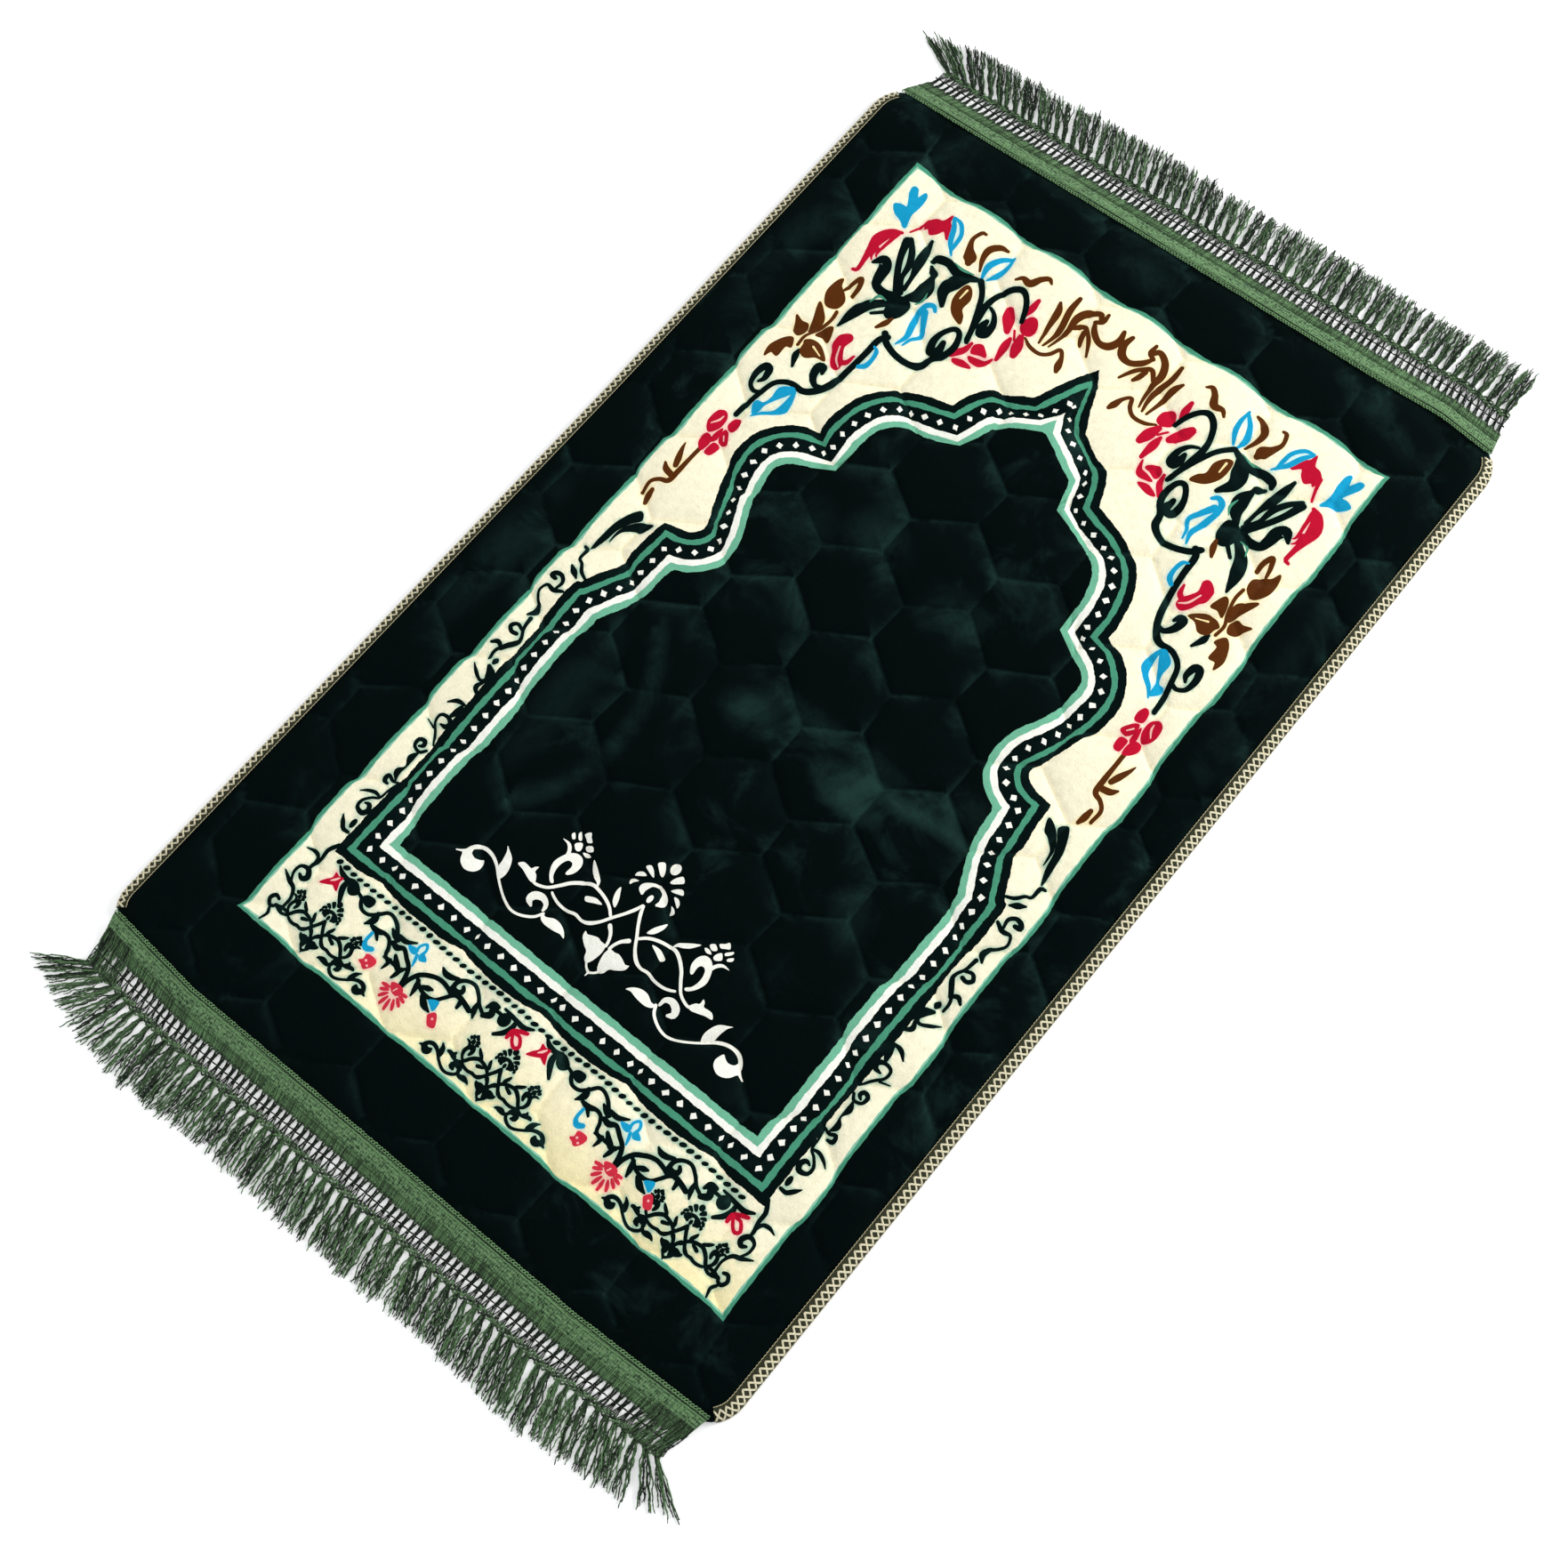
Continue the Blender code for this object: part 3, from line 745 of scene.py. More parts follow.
# %% [markdown]
# ### The garlands
#
# Between the sprays of the lower border hang two garlands, the second a repeat of the first, each
# round one red fan of petals. Over them a row of small dark dots follows the foot of the niche.

# %% Garlands and the row of dots
GARLAND = 246.2                                # from one garland to the next
dark, red = Pen("dark", grow=0.6, again=GARLAND), Pen("red", grow=0.2, again=GARLAND)
blue, plain = Pen("blue", grow=0.2, again=GARLAND), Pen("pink", again=GARLAND)
rose, blush = Pen("rose", grow=0.3, again=GARLAND), Pen("blush", again=GARLAND)
dark.stroke([(46, 86), (52, 82), (59, 81), (65, 84)], [1.5, 4.5, 4.5, 2.5])
dark.petal((62, 82), (68, 84.5), (74, 81.5), (77, 78), (75, 74), (71, 72), (66, 74.5), (64, 79))
dark.stroke([(61, 81), (62, 73), (66, 66), (70, 60)], [4, 5.5, 4.5, 2.5])
dark.stroke([(77, 78), (82, 76), (85, 72), (90, 68.5), (97, 69), (103, 74), (109, 81), (115, 81.5),
             (122, 78), (128, 72), (131, 68)], [2.5, 3, 3.4, 3, 3, 3.4, 3.2, 3, 3.2, 3.6, 4.5])
dark.petal((82, 77), (85, 81.5), (92, 82.5), (94.5, 79), (93, 74), (88.5, 73.5), (85, 75))
dark.stroke([(103, 75), (104, 68), (100, 61)], [3.5, 6.5, 1.5])
dark.stroke([(106, 63.5), (113, 63), (120, 65.5), (126, 64), (130, 58), (132, 52), (137, 49)],
            [3, 5.5, 3.4, 3.2, 3, 3, 2.5])
dark.stroke([(113, 62), (118, 57)], [4, 2])
dark.stroke([(122, 73), (127, 70), (131, 69)], [2, 4.5, 5.5])
dark.stroke([(130, 72), (139, 72), (147, 77)], [4, 4.5, 1.5])
dark.stroke([(130, 64), (136, 63), (142, 66), (150, 61), (157, 56), (160.5, 48), (162, 40)],
            [4, 5.5, 3.8, 3.8, 3.8, 4.2, 4.2])
dark.stroke([(140, 57), (146, 52), (152, 49), (156, 54)], [3, 5.5, 4.5, 2])
dark.stroke([(132, 50), (138, 50.5), (145, 50), (152, 50)], [2.5, 3, 3, 3])
dark.stroke([(139, 51), (139, 46), (138, 41)], [3.5, 3.4, 1.5])
dark.stroke([(153, 51), (152, 45), (150.5, 40)], [3.5, 4, 2])
dark.stroke([(163, 40), (164.5, 48), (169, 57), (178, 63), (187, 65.5), (195, 64.5), (201, 62)],
            [4, 4, 4, 4, 3.8, 3.8, 3])
dark.stroke([(172, 53), (174, 46), (175, 39)], [3.5, 4.5, 1.5])
dark.stroke([(170, 54), (177, 49), (186, 47), (194, 49), (199, 55), (204, 62), (208, 64.5), (215, 63.5),
             (223, 61)], [3, 3.2, 3.4, 3.2, 3.2, 3.5, 4.5, 4.5, 4.5])
dark.stroke([(178, 51), (183, 53), (187, 54.5)], [3, 5, 2])
dark.stroke([(213, 62), (213.5, 56)], [4.5, 2.5])
dark.stroke([(184, 45), (190, 40), (197, 38)], [5, 6, 1.5])
dark.stroke([(181, 75), (186, 72.5), (192, 73), (198, 76)], [1.5, 5, 5, 3])
dark.stroke([(199, 66), (199.5, 74), (205, 79.5), (213, 81), (221, 76), (227, 70), (233, 67)],
            [4, 4, 3.2, 3.2, 3, 3, 3])
dark.stroke([(199, 68), (203, 66), (207, 67.5), (208, 71), (206, 73.5)], [4, 5.5, 5, 4, 3])
dark.stroke([(225, 70), (226, 64), (229, 58)], [3, 4.5, 1.5])
dark.stroke([(241, 79), (236, 78), (233, 73)], [4.5, 6.5, 2.5])
dark.stroke([(238, 76), (240.5, 70), (235, 65.5)], [5, 6.5, 4.5])
dark.stroke([(240, 76), (247, 76)], [3, 3])
dark.dot(253, 74, 5.6, 6)
dark.stroke([(247, 82), (255, 81), (263, 80), (271, 79.5), (279, 83.5)], [2, 3.5, 4, 4.5, 2])
dark.stroke([(262.5, 80), (263, 72), (260, 65), (254, 59)], [3, 5, 4.5, 3])
red.petal((41.5, 63.5), (44, 69), (47.5, 74), (46.5, 79.5), (51, 78.5), (56, 79.5), (56, 75), (58, 71),
          (60, 66.5), (56, 67.5), (53, 69), (49, 66.5))
plain.stroke([(48.5, 71), (51, 74), (53, 77.5)], [1, 2.4, 1.2])
red.stroke([(265, 64), (265.5, 71), (270, 74.5), (277, 77.5)], [3.4, 4, 4, 3.4])
red.stroke([(268, 71), (274, 71), (279, 64.5), (276, 61), (271.5, 63.5), (267.5, 69)],
           [3, 3, 3.4, 3.4, 3, 3])
blue.stroke([(152, 70), (151.5, 77), (155, 81.5), (158.5, 77), (158, 70)], [3.2, 2.6, 2.6, 2.6, 3.2])
blue.petal((142.5, 71), (147, 73), (153, 73.5), (153, 68), (148, 67.5))
blue.petal((157, 73.5), (161, 73), (165.5, 69.5), (161, 66.5), (157.5, 68))
blue.stroke([(155, 69), (157, 64), (158.5, 59)], [3, 3, 1.6])
blue.stroke([(111, 59), (111, 50), (115, 45.5), (120, 48)], [3, 3.5, 5.4, 4.5])
blue.petal((190, 46), (198, 50.5), (200, 45), (199, 40.5), (194, 43))
rose.petal((117, 34), (120, 37), (119.5, 42), (124, 43.5), (129.5, 42.5), (129.5, 36.5), (125, 30.5),
           (121, 32.5))
rose.petal((198, 36), (202, 41), (205.5, 39), (209.5, 31), (204, 28.5), (200, 32.5))
for x, y, radius in ((122.5, 37.5, 1.2), (126, 34.5, 1.1), (203.5, 35.5, 1.1)):
    blush.dot(x, y, radius)
rose.petal((154, 37), (159, 39.5), (165.5, 39), (168, 35), (164.5, 30.5), (158.5, 31.5))
plain.stroke([(160, 32.5), (161.5, 36)], [1, 1.2])
PALMETTE = np.array([162.0, 34.0])
FAN = ((-172, 14), (-152, 14), (-130, 15.5), (-108, 17.5), (-86, 18.5), (-62, 16.5), (-38, 14),
       (-16, 12.5), (8, 11))
for turn, reach in FAN:                        # degrees, and mm from the middle of the fan
    along = np.array([cos(radians(turn)), sin(radians(turn))])
    rose.stroke([tuple(PALMETTE + along * part * reach) for part in (0.5, 0.75, 1.0)], [2.0, 3.4, 2.6])
DOTS = 57
DOT_PITCH = 8.3
DOT_START = (43.5, 88.4)
row_luck = np.random.default_rng(8)
for index in range(DOTS):
    long = row_luck.uniform(2.7, 3.7)
    short = row_luck.uniform(2.3, 2.9)
    x = DOT_START[0] + index * DOT_PITCH
    y = DOT_START[1] + 0.9 * sin(x / 17) + row_luck.uniform(-0.4, 0.4)
    ring = [(x + long * cos(a), y + short * sin(a + 0.4)) for a in np.arange(0, 6) * pi / 3]
    motifs.append((smooth_line(ring, closed=True), "dark"))
print("the print:", len(grounds) + len(motifs), "shapes")

# %% [markdown]
# ## The printed face as one mesh
#
# Every outline of the print becomes a line of edges in one sheet of triangles, so each ink ends
# exactly on its outline however coarse the sheet is elsewhere. A constrained Delaunay
# triangulation does that: it joins scattered points into well-shaped triangles and keeps the edges
# it is given. Between the outlines we scatter a loose grid, and close rows along the seams, where
# the relief turns sharply. Each triangle then takes the ink of the last shape printed over it.
#
# The straight bands of the print were pulled crooked when the pad was quilted, because each puff
# takes up cloth. The same small pull is given to their outlines here.

# %% Points and lines of the sheet
PULL = 3.4                                     # mm, where a puff pulls the print most
PULL_RISES = 9 * MM                            # the pull grows over this distance from a seam
WANDER = 0.32                                  # mm
SEAM_SIDE = 2.4                                # mm from a seam to the first row beside it
SEAM_STEP = 0.0032                             # m from point to point along a seam
RIM_STEP = 0.005                               # m at most from point to point along the rim
RIM_DEPTHS = (0.0, 1.6, 4.5, 8.0, 13.0, 20.0)  # mm in from the rim, one ring of points at each
GRID = 7.0                                     # mm between loose points


def to_rug(places):
    return PRINT_CORNER + places * MM


def pulled(places, phase):
    """Move the outline of a band outwards from the middle of each puff, and let it wander."""
    away, seam = nearest_cell(to_rug(places))
    share = (seam / PULL_RISES).clip(0, 1)
    x, y = places.T
    sideways = np.sin(0.21 * y + 2.3 * phase) + 0.7 * np.sin(0.63 * y - phase) + 0.4 * np.sin(1.7 * y)
    lengthways = np.sin(0.19 * x + 1.9 * phase) + 0.7 * np.sin(0.57 * x + phase) + 0.4 * np.sin(1.6 * x)
    wander = np.column_stack([sideways, lengthways])
    return places + PULL * away / CELL_REACH * share[:, None] + WANDER * wander


def without_repeats(line, least=0.35):
    """A closed line without the points that lie almost on the one before."""
    kept = [line[0]]
    for place in line[1:]:
        if hypot(*(place - kept[-1])) > least:
            kept.append(place)
    if hypot(*(kept[-1] - kept[0])) < least:
        kept.pop()
    return np.array(kept)


STRAIGHT_BANDS = 9                             # each of the first outlines wanders in its own way
printed = [(without_repeats(pulled(line, min(order, STRAIGHT_BANDS))), ink)
           for order, (line, ink) in enumerate(grounds)]
printed += [(without_repeats(line), ink) for line, ink in motifs]
printed = [(line, ink) for line, ink in printed if len(line) > 2]

rim_runs = []
for start, end in zip(outline, np.roll(outline, -1, axis=0)):
    count = max(2, ceil(hypot(*(end - start)) / RIM_STEP))
    rim_runs.append(start + (end - start) * np.linspace(0, 1, count, endpoint=False)[:, None])
rim_line = (np.vstack(rim_runs) - PRINT_CORNER) / MM
rim_in = normals_of(rim_line, closed=True)
rim_rings = [rim_line + rim_in * depth for depth in RIM_DEPTHS]

seams = []
tall = (CELL_ROW ** 2 - (CELL_WIDTH / 2) ** 2) / (2 * CELL_ROW)
corners_of_cell = np.array([(CELL_WIDTH / 2, -tall), (CELL_WIDTH / 2, tall), (0, CELL_ROW - tall),
                            (-CELL_WIDTH / 2, tall)])
for row in range(-10, 11):
    for column in range(-6, 7):
        middle = np.array([(column + 0.5 * (row % 2)) * CELL_WIDTH, row * CELL_ROW])
        for start, end in zip(corners_of_cell, corners_of_cell[1:]):
            steps = ceil(np.linalg.norm(end - start) / SEAM_STEP)
            run = middle + start + (end - start) * (np.arange(steps)[:, None] / steps)
            side = np.array([start[1] - end[1], end[0] - start[0]]) / np.linalg.norm(end - start)
            for offset in (0.0, SEAM_SIDE, -SEAM_SIDE, 2.4 * SEAM_SIDE, -2.4 * SEAM_SIDE):
                seams.append(run + side * offset * MM)
seams = (from_cells(np.vstack(seams)) - PRINT_CORNER) / MM

low, high = rim_line.min(axis=0), rim_line.max(axis=0)
columns, rows = np.meshgrid(np.arange(low[0], high[0], GRID), np.arange(low[1], high[1], GRID * 0.87))
columns[1::2] += GRID / 2
jitter = np.random.default_rng(5)
grid = np.column_stack([columns.ravel(), rows.ravel()])
grid += jitter.uniform(-0.9, 0.9, grid.shape)


def lookup(points):
    """Finds which of many points in the plan lies nearest to a place."""
    made = kdtree.KDTree(len(points))
    for index, point in enumerate(points):
        made.insert((point[0], point[1], 0), index)
    made.balance()
    return made


FROM_OUTLINE = 1.5                             # mm that a loose point keeps off the outlines
FROM_RIM = 23 * MM                             # and off the rim, which has rings of its own
outline_points = np.vstack([line for line, _ in printed])
near = lookup(outline_points)
free = np.vstack([seams, grid])
free = free[(free > low).all(axis=1) & (free < high).all(axis=1)]
free = free[inset_of(to_rug(free)) > FROM_RIM]
free = free[np.array([near.find((x, y, 0))[2] > FROM_OUTLINE for x, y in free])]
print(len(outline_points), "points on outlines,", len(free), "loose ones")

# %% Triangles and their inks
lines = rim_rings + [line for line, _ in printed]
places = np.vstack(lines + [free])
edges = []
first = 0
for line in lines:
    count = len(line)
    edges += [(first + step, first + (step + 1) % count) for step in range(count)]
    first += count
sheet = geometry.delaunay_2d_cdt([Vector(place) for place in places], edges, [], 0, 1e-5)
flat_places = np.array([tuple(place) for place in sheet[0]])
triangles = np.array(sheet[2])
middles = flat_places[triangles].mean(axis=1)
inside = winding(middles, rim_rings[0]) != 0
triangles, middles = triangles[inside], middles[inside]
crossed = flat_places[triangles]
areas = ((crossed[:, 1, 0] - crossed[:, 0, 0]) * (crossed[:, 2, 1] - crossed[:, 0, 1])
         - (crossed[:, 2, 0] - crossed[:, 0, 0]) * (crossed[:, 1, 1] - crossed[:, 0, 1]))
triangles = np.where((areas < 0)[:, None], triangles[:, ::-1], triangles)

ink_of = np.full(len(triangles), ink_names.index("field"))
in_motif = np.zeros(len(triangles), dtype=bool)
for index, (line, ink) in enumerate(printed):
    least, most = line.min(axis=0), line.max(axis=0)
    chosen = np.flatnonzero((middles > least).all(axis=1) & (middles < most).all(axis=1))
    chosen = chosen[winding(middles[chosen], line) != 0]
    ink_of[chosen] = ink_names.index(ink)
    in_motif[chosen] = index >= len(grounds)
print(len(triangles), "triangles,", int(in_motif.sum()), "of them inside motifs")

# %% [markdown]
# The inks have bled a little into the pale plush, more to the upper left, as the pile leans that
# way. So a corner of a pale triangle that touches a motif is tinted with the colour that the ink
# leaves when thin. Nothing finer is needed, as the tint fades over the width of one triangle.

# %% The pad
ink_colours = np.array([INKS[name] for name in ink_names])
corner_colours = np.repeat(ink_colours[ink_of][:, None, :], 3, axis=1)
bleed_of = np.zeros(len(flat_places), dtype=int) - 1
for ink, tint in BLEED.items():
    touching = in_motif & (ink_of == ink_names.index(ink))
    bleed_of[np.unique(triangles[touching])] = ink_names.index(tint)
pale = np.isin(ink_of, [ink_names.index(name) for name in ("cream", "teal")]) & ~in_motif
tinted = (bleed_of[triangles] >= 0) & pale[:, None]
crossed = flat_places[triangles]
longest = np.linalg.norm(crossed - np.roll(crossed, 1, axis=1), axis=2).max(axis=1)
thinned = np.repeat((0.75 * (1.6 - longest / 5.0).clip(0, 1))[:, None], 3, axis=1)[tinted][:, None]
corner_colours[tinted] += thinned * (ink_colours[bleed_of[triangles][tinted]] - corner_colours[tinted])

rug_places = to_rug(flat_places)
heights = puffed(rug_places) + rest[2]
used = np.unique(triangles)
renumber = np.full(len(flat_places), -1)
renumber[used] = np.arange(len(used))
top_faces = renumber[triangles]
top = np.column_stack([rug_places, heights])[used]


def turned_in(line, depth, height):
    inner = to_rug(line + rim_in * depth)
    return np.column_stack([inner, np.full(len(inner), height)])


under = [turned_in(rim_line, 0.4, 0.5 * MM), turned_in(rim_line, 2.2, 0.0)]
count = len(rim_line)
steps = np.arange(count)
near = lookup(top)
rim_ring = np.array([near.find((x, y, 0))[1] for x, y in to_rug(rim_line)])
rings = [rim_ring, len(top) + steps, len(top) + count + steps]
skirt = []
for upper, lower in zip(rings, rings[1:]):
    ahead = np.roll(steps, -1)
    skirt += np.column_stack([upper[steps], lower[steps], lower[ahead]]).tolist()
    skirt += np.column_stack([upper[steps], lower[ahead], upper[ahead]]).tolist()
cap = geometry.delaunay_2d_cdt([Vector(place[:2]) for place in under[1]], [], [steps.tolist()], 1, 1e-7)
cap_faces = [[rings[2][cap[3][corner][0]] for corner in face][::-1] for face in cap[2]]


def new_piece(name, places, faces, *nodes):
    """A smooth piece made of a mesh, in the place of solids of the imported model."""
    mesh = bpy.data.meshes.new(name)
    mesh.from_pydata([tuple(place) for place in places], [], [list(face) for face in faces])
    mesh.validate(clean_customdata=False)
    mesh.update()
    for polygon in mesh.polygons:
        polygon.use_smooth = True
    piece = bpy.data.objects.new(name, mesh)
    bpy.context.scene.collection.objects.link(piece)
    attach(piece, "root")
    if nodes:
        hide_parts(*nodes)
    return piece


pad_faces = np.vstack([top_faces, skirt, cap_faces])
pad = new_piece("quilted_pad", np.vstack([top, *under]), pad_faces.tolist(), "rug_pad")
colours = np.ones((len(pad_faces), 3, 4))
colours[:, :, :3] = INKS["field"]
colours[:len(top_faces), :, :3] = corner_colours
ink_layer = pad.data.color_attributes.new("ink", "FLOAT_COLOR", "CORNER")
ink_layer.data.foreach_set("color", colours.ravel())
print("pad:", len(pad.data.vertices), "vertices,", len(pad.data.polygons), "faces")

# %% [markdown]
# ### Plush
#
# Plush is a short, dense pile that leans one way. On the dark plush, the slopes that face roughly
# towards the key light are given a painted sheen, and the slopes turned away from it are left dark.
# So each point of the pad is given four numbers for its material: how far it faces the key light,
# whether it lies on a row of stitches, how much yellower its cream is, and how much its pile was
# brushed up by hand. The rows of stitches get a painted sheen on the dark plush and painted shade
# on the cream, and the brushed-up pile gets a painted sheen.

# %% What the plush needs to know at each point
STEP = 1.5 * MM
# The way, in plan, roughly towards the key light: slopes that face it get a painted sheen.
KEY_LIGHT_WAY = np.array([0.5, 0.87])


def on_pad(name, values):
    layer = pad.data.attributes.new(name, "FLOAT", "POINT")
    layer.data.foreach_set("value", np.asarray(values, dtype=np.float32))


pad_places = np.vstack([top, *under])[:, :2]
rises = [(puffed(pad_places + way) - puffed(pad_places - way)) / (2 * STEP)
         for way in (np.array([STEP, 0]), np.array([0, STEP]))]
slope = -(rises[0] * KEY_LIGHT_WAY[0] + rises[1] * KEY_LIGHT_WAY[1])
_, seam = nearest_cell(pad_places)
pad_inset = inset_of(pad_places)
frontwards = (pad_places[:, 1] - PRINT_CORNER[1]) / MM
aside = (pad_places[:, 0] - PRINT_CORNER[0]) / MM
# Painted sheen and seam shade are weakest at the front of the pad and full towards the back.
painted_light_strength = np.interp(frontwards, [-80, 240, 420], [0.36, 0.6, 1.0])
on_pad("slope", (0.5 + 1.6 * slope * painted_light_strength).clip(0, 1))
# Rows of stitches: painted sheen on the dark plush, painted shade on the cream.
on_pad("stitched", (1 - seam / (2.2 * MM)).clip(0, 1) * (pad_inset > 12 * MM) * painted_light_strength)
# The cream is made yellower near the front end of the print, except at its left corner.
yellowed = 0.8 * (1 - frontwards / 75).clip(0, 1) * ((aside - 40) / 150).clip(0, 1) + 0.03
on_pad("yellowed", yellowed)


def ellipse(x, y, across, along, turn=0.0):
    """1 in the middle of a soft spot on the pad and 0 outside it."""
    c, s = cos(radians(turn)), sin(radians(turn))
    u, v = (aside - x) * c + (frontwards - y) * s, (frontwards - y) * c - (aside - x) * s
    return (1.5 - 1.5 * np.hypot(u / across, v / along)).clip(0, 1)


# Painted sheen on spots where the pile stands up: middle, half sizes, turn in degrees, and how much.
BRUSHED_SHEEN_SPOTS = [(355, 418, 48, 22, -6, 1.0), (240, 425, 38, 26, 0, 0.75), (400, 440, 90, 12, 4, 0.9),
           (325, 610, 40, 34, 0, 0.5), (225, 630, 44, 32, 0, 0.45), (160, 600, 36, 40, 0, 0.4),
           (300, 455, 120, 14, 0, 0.4), (95, 330, 26, 110, 0, 0.28), (430, 330, 24, 40, 30, 0.3),
           (250, 1010, 44, 26, 0, 0.45), (520, 1020, 70, 20, -20, 0.5), (-45, 400, 26, 120, 0, 0.4),
           (590, 700, 20, 120, 0, 0.35), (40, 1010, 44, 24, 0, 0.35), (-40, 800, 26, 90, 0, 0.3)]
# Brushed-up pile, shown by a painted sheen.
brushed_up = sum(0.8 * much * ellipse(*spot) for *spot, much in BRUSHED_SHEEN_SPOTS)
sheen_patch_round = np.hypot((aside - 60) / 104, (frontwards - 330) / 128)   # 1 along the curved edge of a brushed spot, where its painted sheen stops
sheen_patch_edge = (1 - abs(sheen_patch_round - 1) * 9).clip(0, 1)
on_pad("brushed_up", (brushed_up + 0.5 * sheen_patch_edge * (aside > 120)).clip(0, 1.4))
print("slopes up to", round(float(abs(slope).max()), 2))

# %% Plush material
plush, shader, wire = finish_named("printed_plush", Metallic=0.0, IOR=1.35, Sheen_Weight=0.10,
                                   Sheen_Roughness=0.35, Sheen_Tint=(*srgb(120, 190, 180), 1.0),
                                   Specular_IOR_Level=0.05)
ink = wire.node("ShaderNodeVertexColor", {"layer_name": "ink"})
key_facing_at, seam_sheen_and_shade_at, front_yellow_at, brushed_sheen_at = (
    wire.point_value(name) for name in ("slope", "stitched", "yellowed", "brushed_up"))
pile = wire.noise(640.0, Detail=2.0)
tufts = wire.noise(150.0, Detail=3.0)
brush = wire.noise(17.0, Detail=4.0, Roughness=0.62, Distortion=0.6)
broad = wire.noise(5.0, Detail=2.0)


def grey(level):
    return wire.node("ShaderNodeCombineColor", None, {"Red": level, "Green": level, "Blue": level})


def mixed(kind, share, first, second):
    return wire.node("ShaderNodeMix", {"data_type": "RGBA", "blend_type": kind},
                     {0: share, 6: first, 7: second}, out=2)


streaks = 0.715 + 0.28 * pile + 0.30 * tufts + 0.10 * brush
printed_shade = mixed("MULTIPLY", 1.0, ink, grey(streaks))
is_dark = wire.node("ShaderNodeRGBToBW", None, {"Color": ink}).ramp(0.05, 0.02)
is_pale = wire.node("ShaderNodeRGBToBW", None, {"Color": ink}).ramp(0.55, 0.75)
# Painted sheen on the dark plush, added below as a pale teal: on slopes facing the key light, along the
# seams, in brushed-up spots and in broad random patches.
sheen = key_facing_at.ramp(0.5, 1.0) * (0.08 + 0.75 * brush.ramp(0.42, 0.68)) * 0.62
sheen = sheen + seam_sheen_and_shade_at * brush.ramp(0.36, 0.6) * 0.5 + brushed_sheen_at * brush.ramp(0.28, 0.6) * 0.95
sheen = sheen + brush.ramp(0.52, 0.75) * broad.ramp(0.45, 0.6) * 0.4
sheen = (sheen * (0.45 + 0.6 * tufts + 0.5 * pile)).clamp()
shining = mixed("ADD", sheen, printed_shade, srgb(28, 52, 48))
yellow_share = (front_yellow_at * (0.4 + 1.1 * broad)).clamp()
yellow = mixed("MULTIPLY", yellow_share, printed_shade, srgb(255, 247, 208))
# Painted shade along the seams of the cream.
seam_shaded = mixed("MULTIPLY", seam_sheen_and_shade_at * 0.3, yellow, srgb(238, 226, 186))
cloth_colour = is_pale.blend(is_dark.blend(printed_shade, shining), seam_shaded)
wire.plug(shader.inputs["Base Color"], cloth_colour)
wire.plug(shader.inputs["Roughness"], 0.88 + 0.1 * tufts)
bump = wire.node("ShaderNodeBump", None, {"Height": 0.7 * pile + 0.8 * tufts, "Strength": 0.55,
                                          "Distance": 0.0011})
wire.plug(shader.inputs["Normal"], bump)
pad.data.materials.append(plush)
print("plush:", len(plush.node_tree.nodes), "nodes in its material")

# %% [markdown]
# ## Yarn
#
# The braids, nets and tassels are all made of yarn. A yarn here is an oval tube that turns about
# its own line as it goes, and that is how two twisted plies look. One function makes many at once.

# %% Twisted yarns
def yarns(lines, thick, flat=0.68, turn=0.0, sides=4):
    """Tubes along many lines, all with as many points; turn is in radians a metre."""
    lines = np.asarray(lines, dtype=float)
    count, length, _ = lines.shape
    along = np.gradient(lines, axis=1)
    along /= np.maximum(np.linalg.norm(along, axis=2, keepdims=True), 1e-12)
    side = np.cross(along, (0.0, 0.0, 1.0))
    side /= np.maximum(np.linalg.norm(side, axis=2, keepdims=True), 1e-9)
    up = np.cross(side, along)
    gone = np.linalg.norm(np.diff(lines, axis=1), axis=2)
    gone = np.concatenate([np.zeros((count, 1)), np.cumsum(gone, axis=1)], axis=1)
    angle = np.arange(sides) * 2 * pi / sides
    half = (0.5 * np.broadcast_to(thick, gone.shape))[..., None]
    x, y = half * np.cos(angle), half * flat * np.sin(angle)
    c, s = np.cos(gone * turn)[..., None], np.sin(gone * turn)[..., None]
    places = (lines[:, :, None] + side[:, :, None] * (x * c - y * s)[..., None]
              + up[:, :, None] * (x * s + y * c)[..., None])
    index = np.arange(count * length * sides).reshape(count, length, sides)
    beside = np.roll(index, -1, axis=2)
    walls = np.stack([index[:, :-1], index[:, 1:], beside[:, 1:], beside[:, :-1]], axis=-1)
    faces = [*walls.reshape(-1, 4).tolist(), *index[:, 0].tolist(), *index[:, -1, ::-1].tolist()]
    return places.reshape(-1, 3), faces


class Bundle:
    """Gathers many small parts into one mesh, each with a tint from 0, dark, to 1, pale."""

    def __init__(self):
        self.places, self.faces, self.tints, self.count = [], [], [], 0

    def add(self, made, tints):
        places, faces = made
        self.places.append(places)
        self.faces += [[corner + self.count for corner in face] for face in faces]
        self.tints.append(np.repeat(np.atleast_1d(tints), len(places) // len(np.atleast_1d(tints))))
        self.count += len(places)

    def piece(self, name, finish, *nodes):
        made = new_piece(name, np.vstack(self.places), self.faces, *nodes)
        layer = made.data.attributes.new("tint", "FLOAT", "POINT")
        layer.data.foreach_set("value", np.concatenate(self.tints).astype(np.float32))
        made.data.materials.append(finish)
        return made


FUZZ = 1400.0                                  # scale of the fibres on a yarn


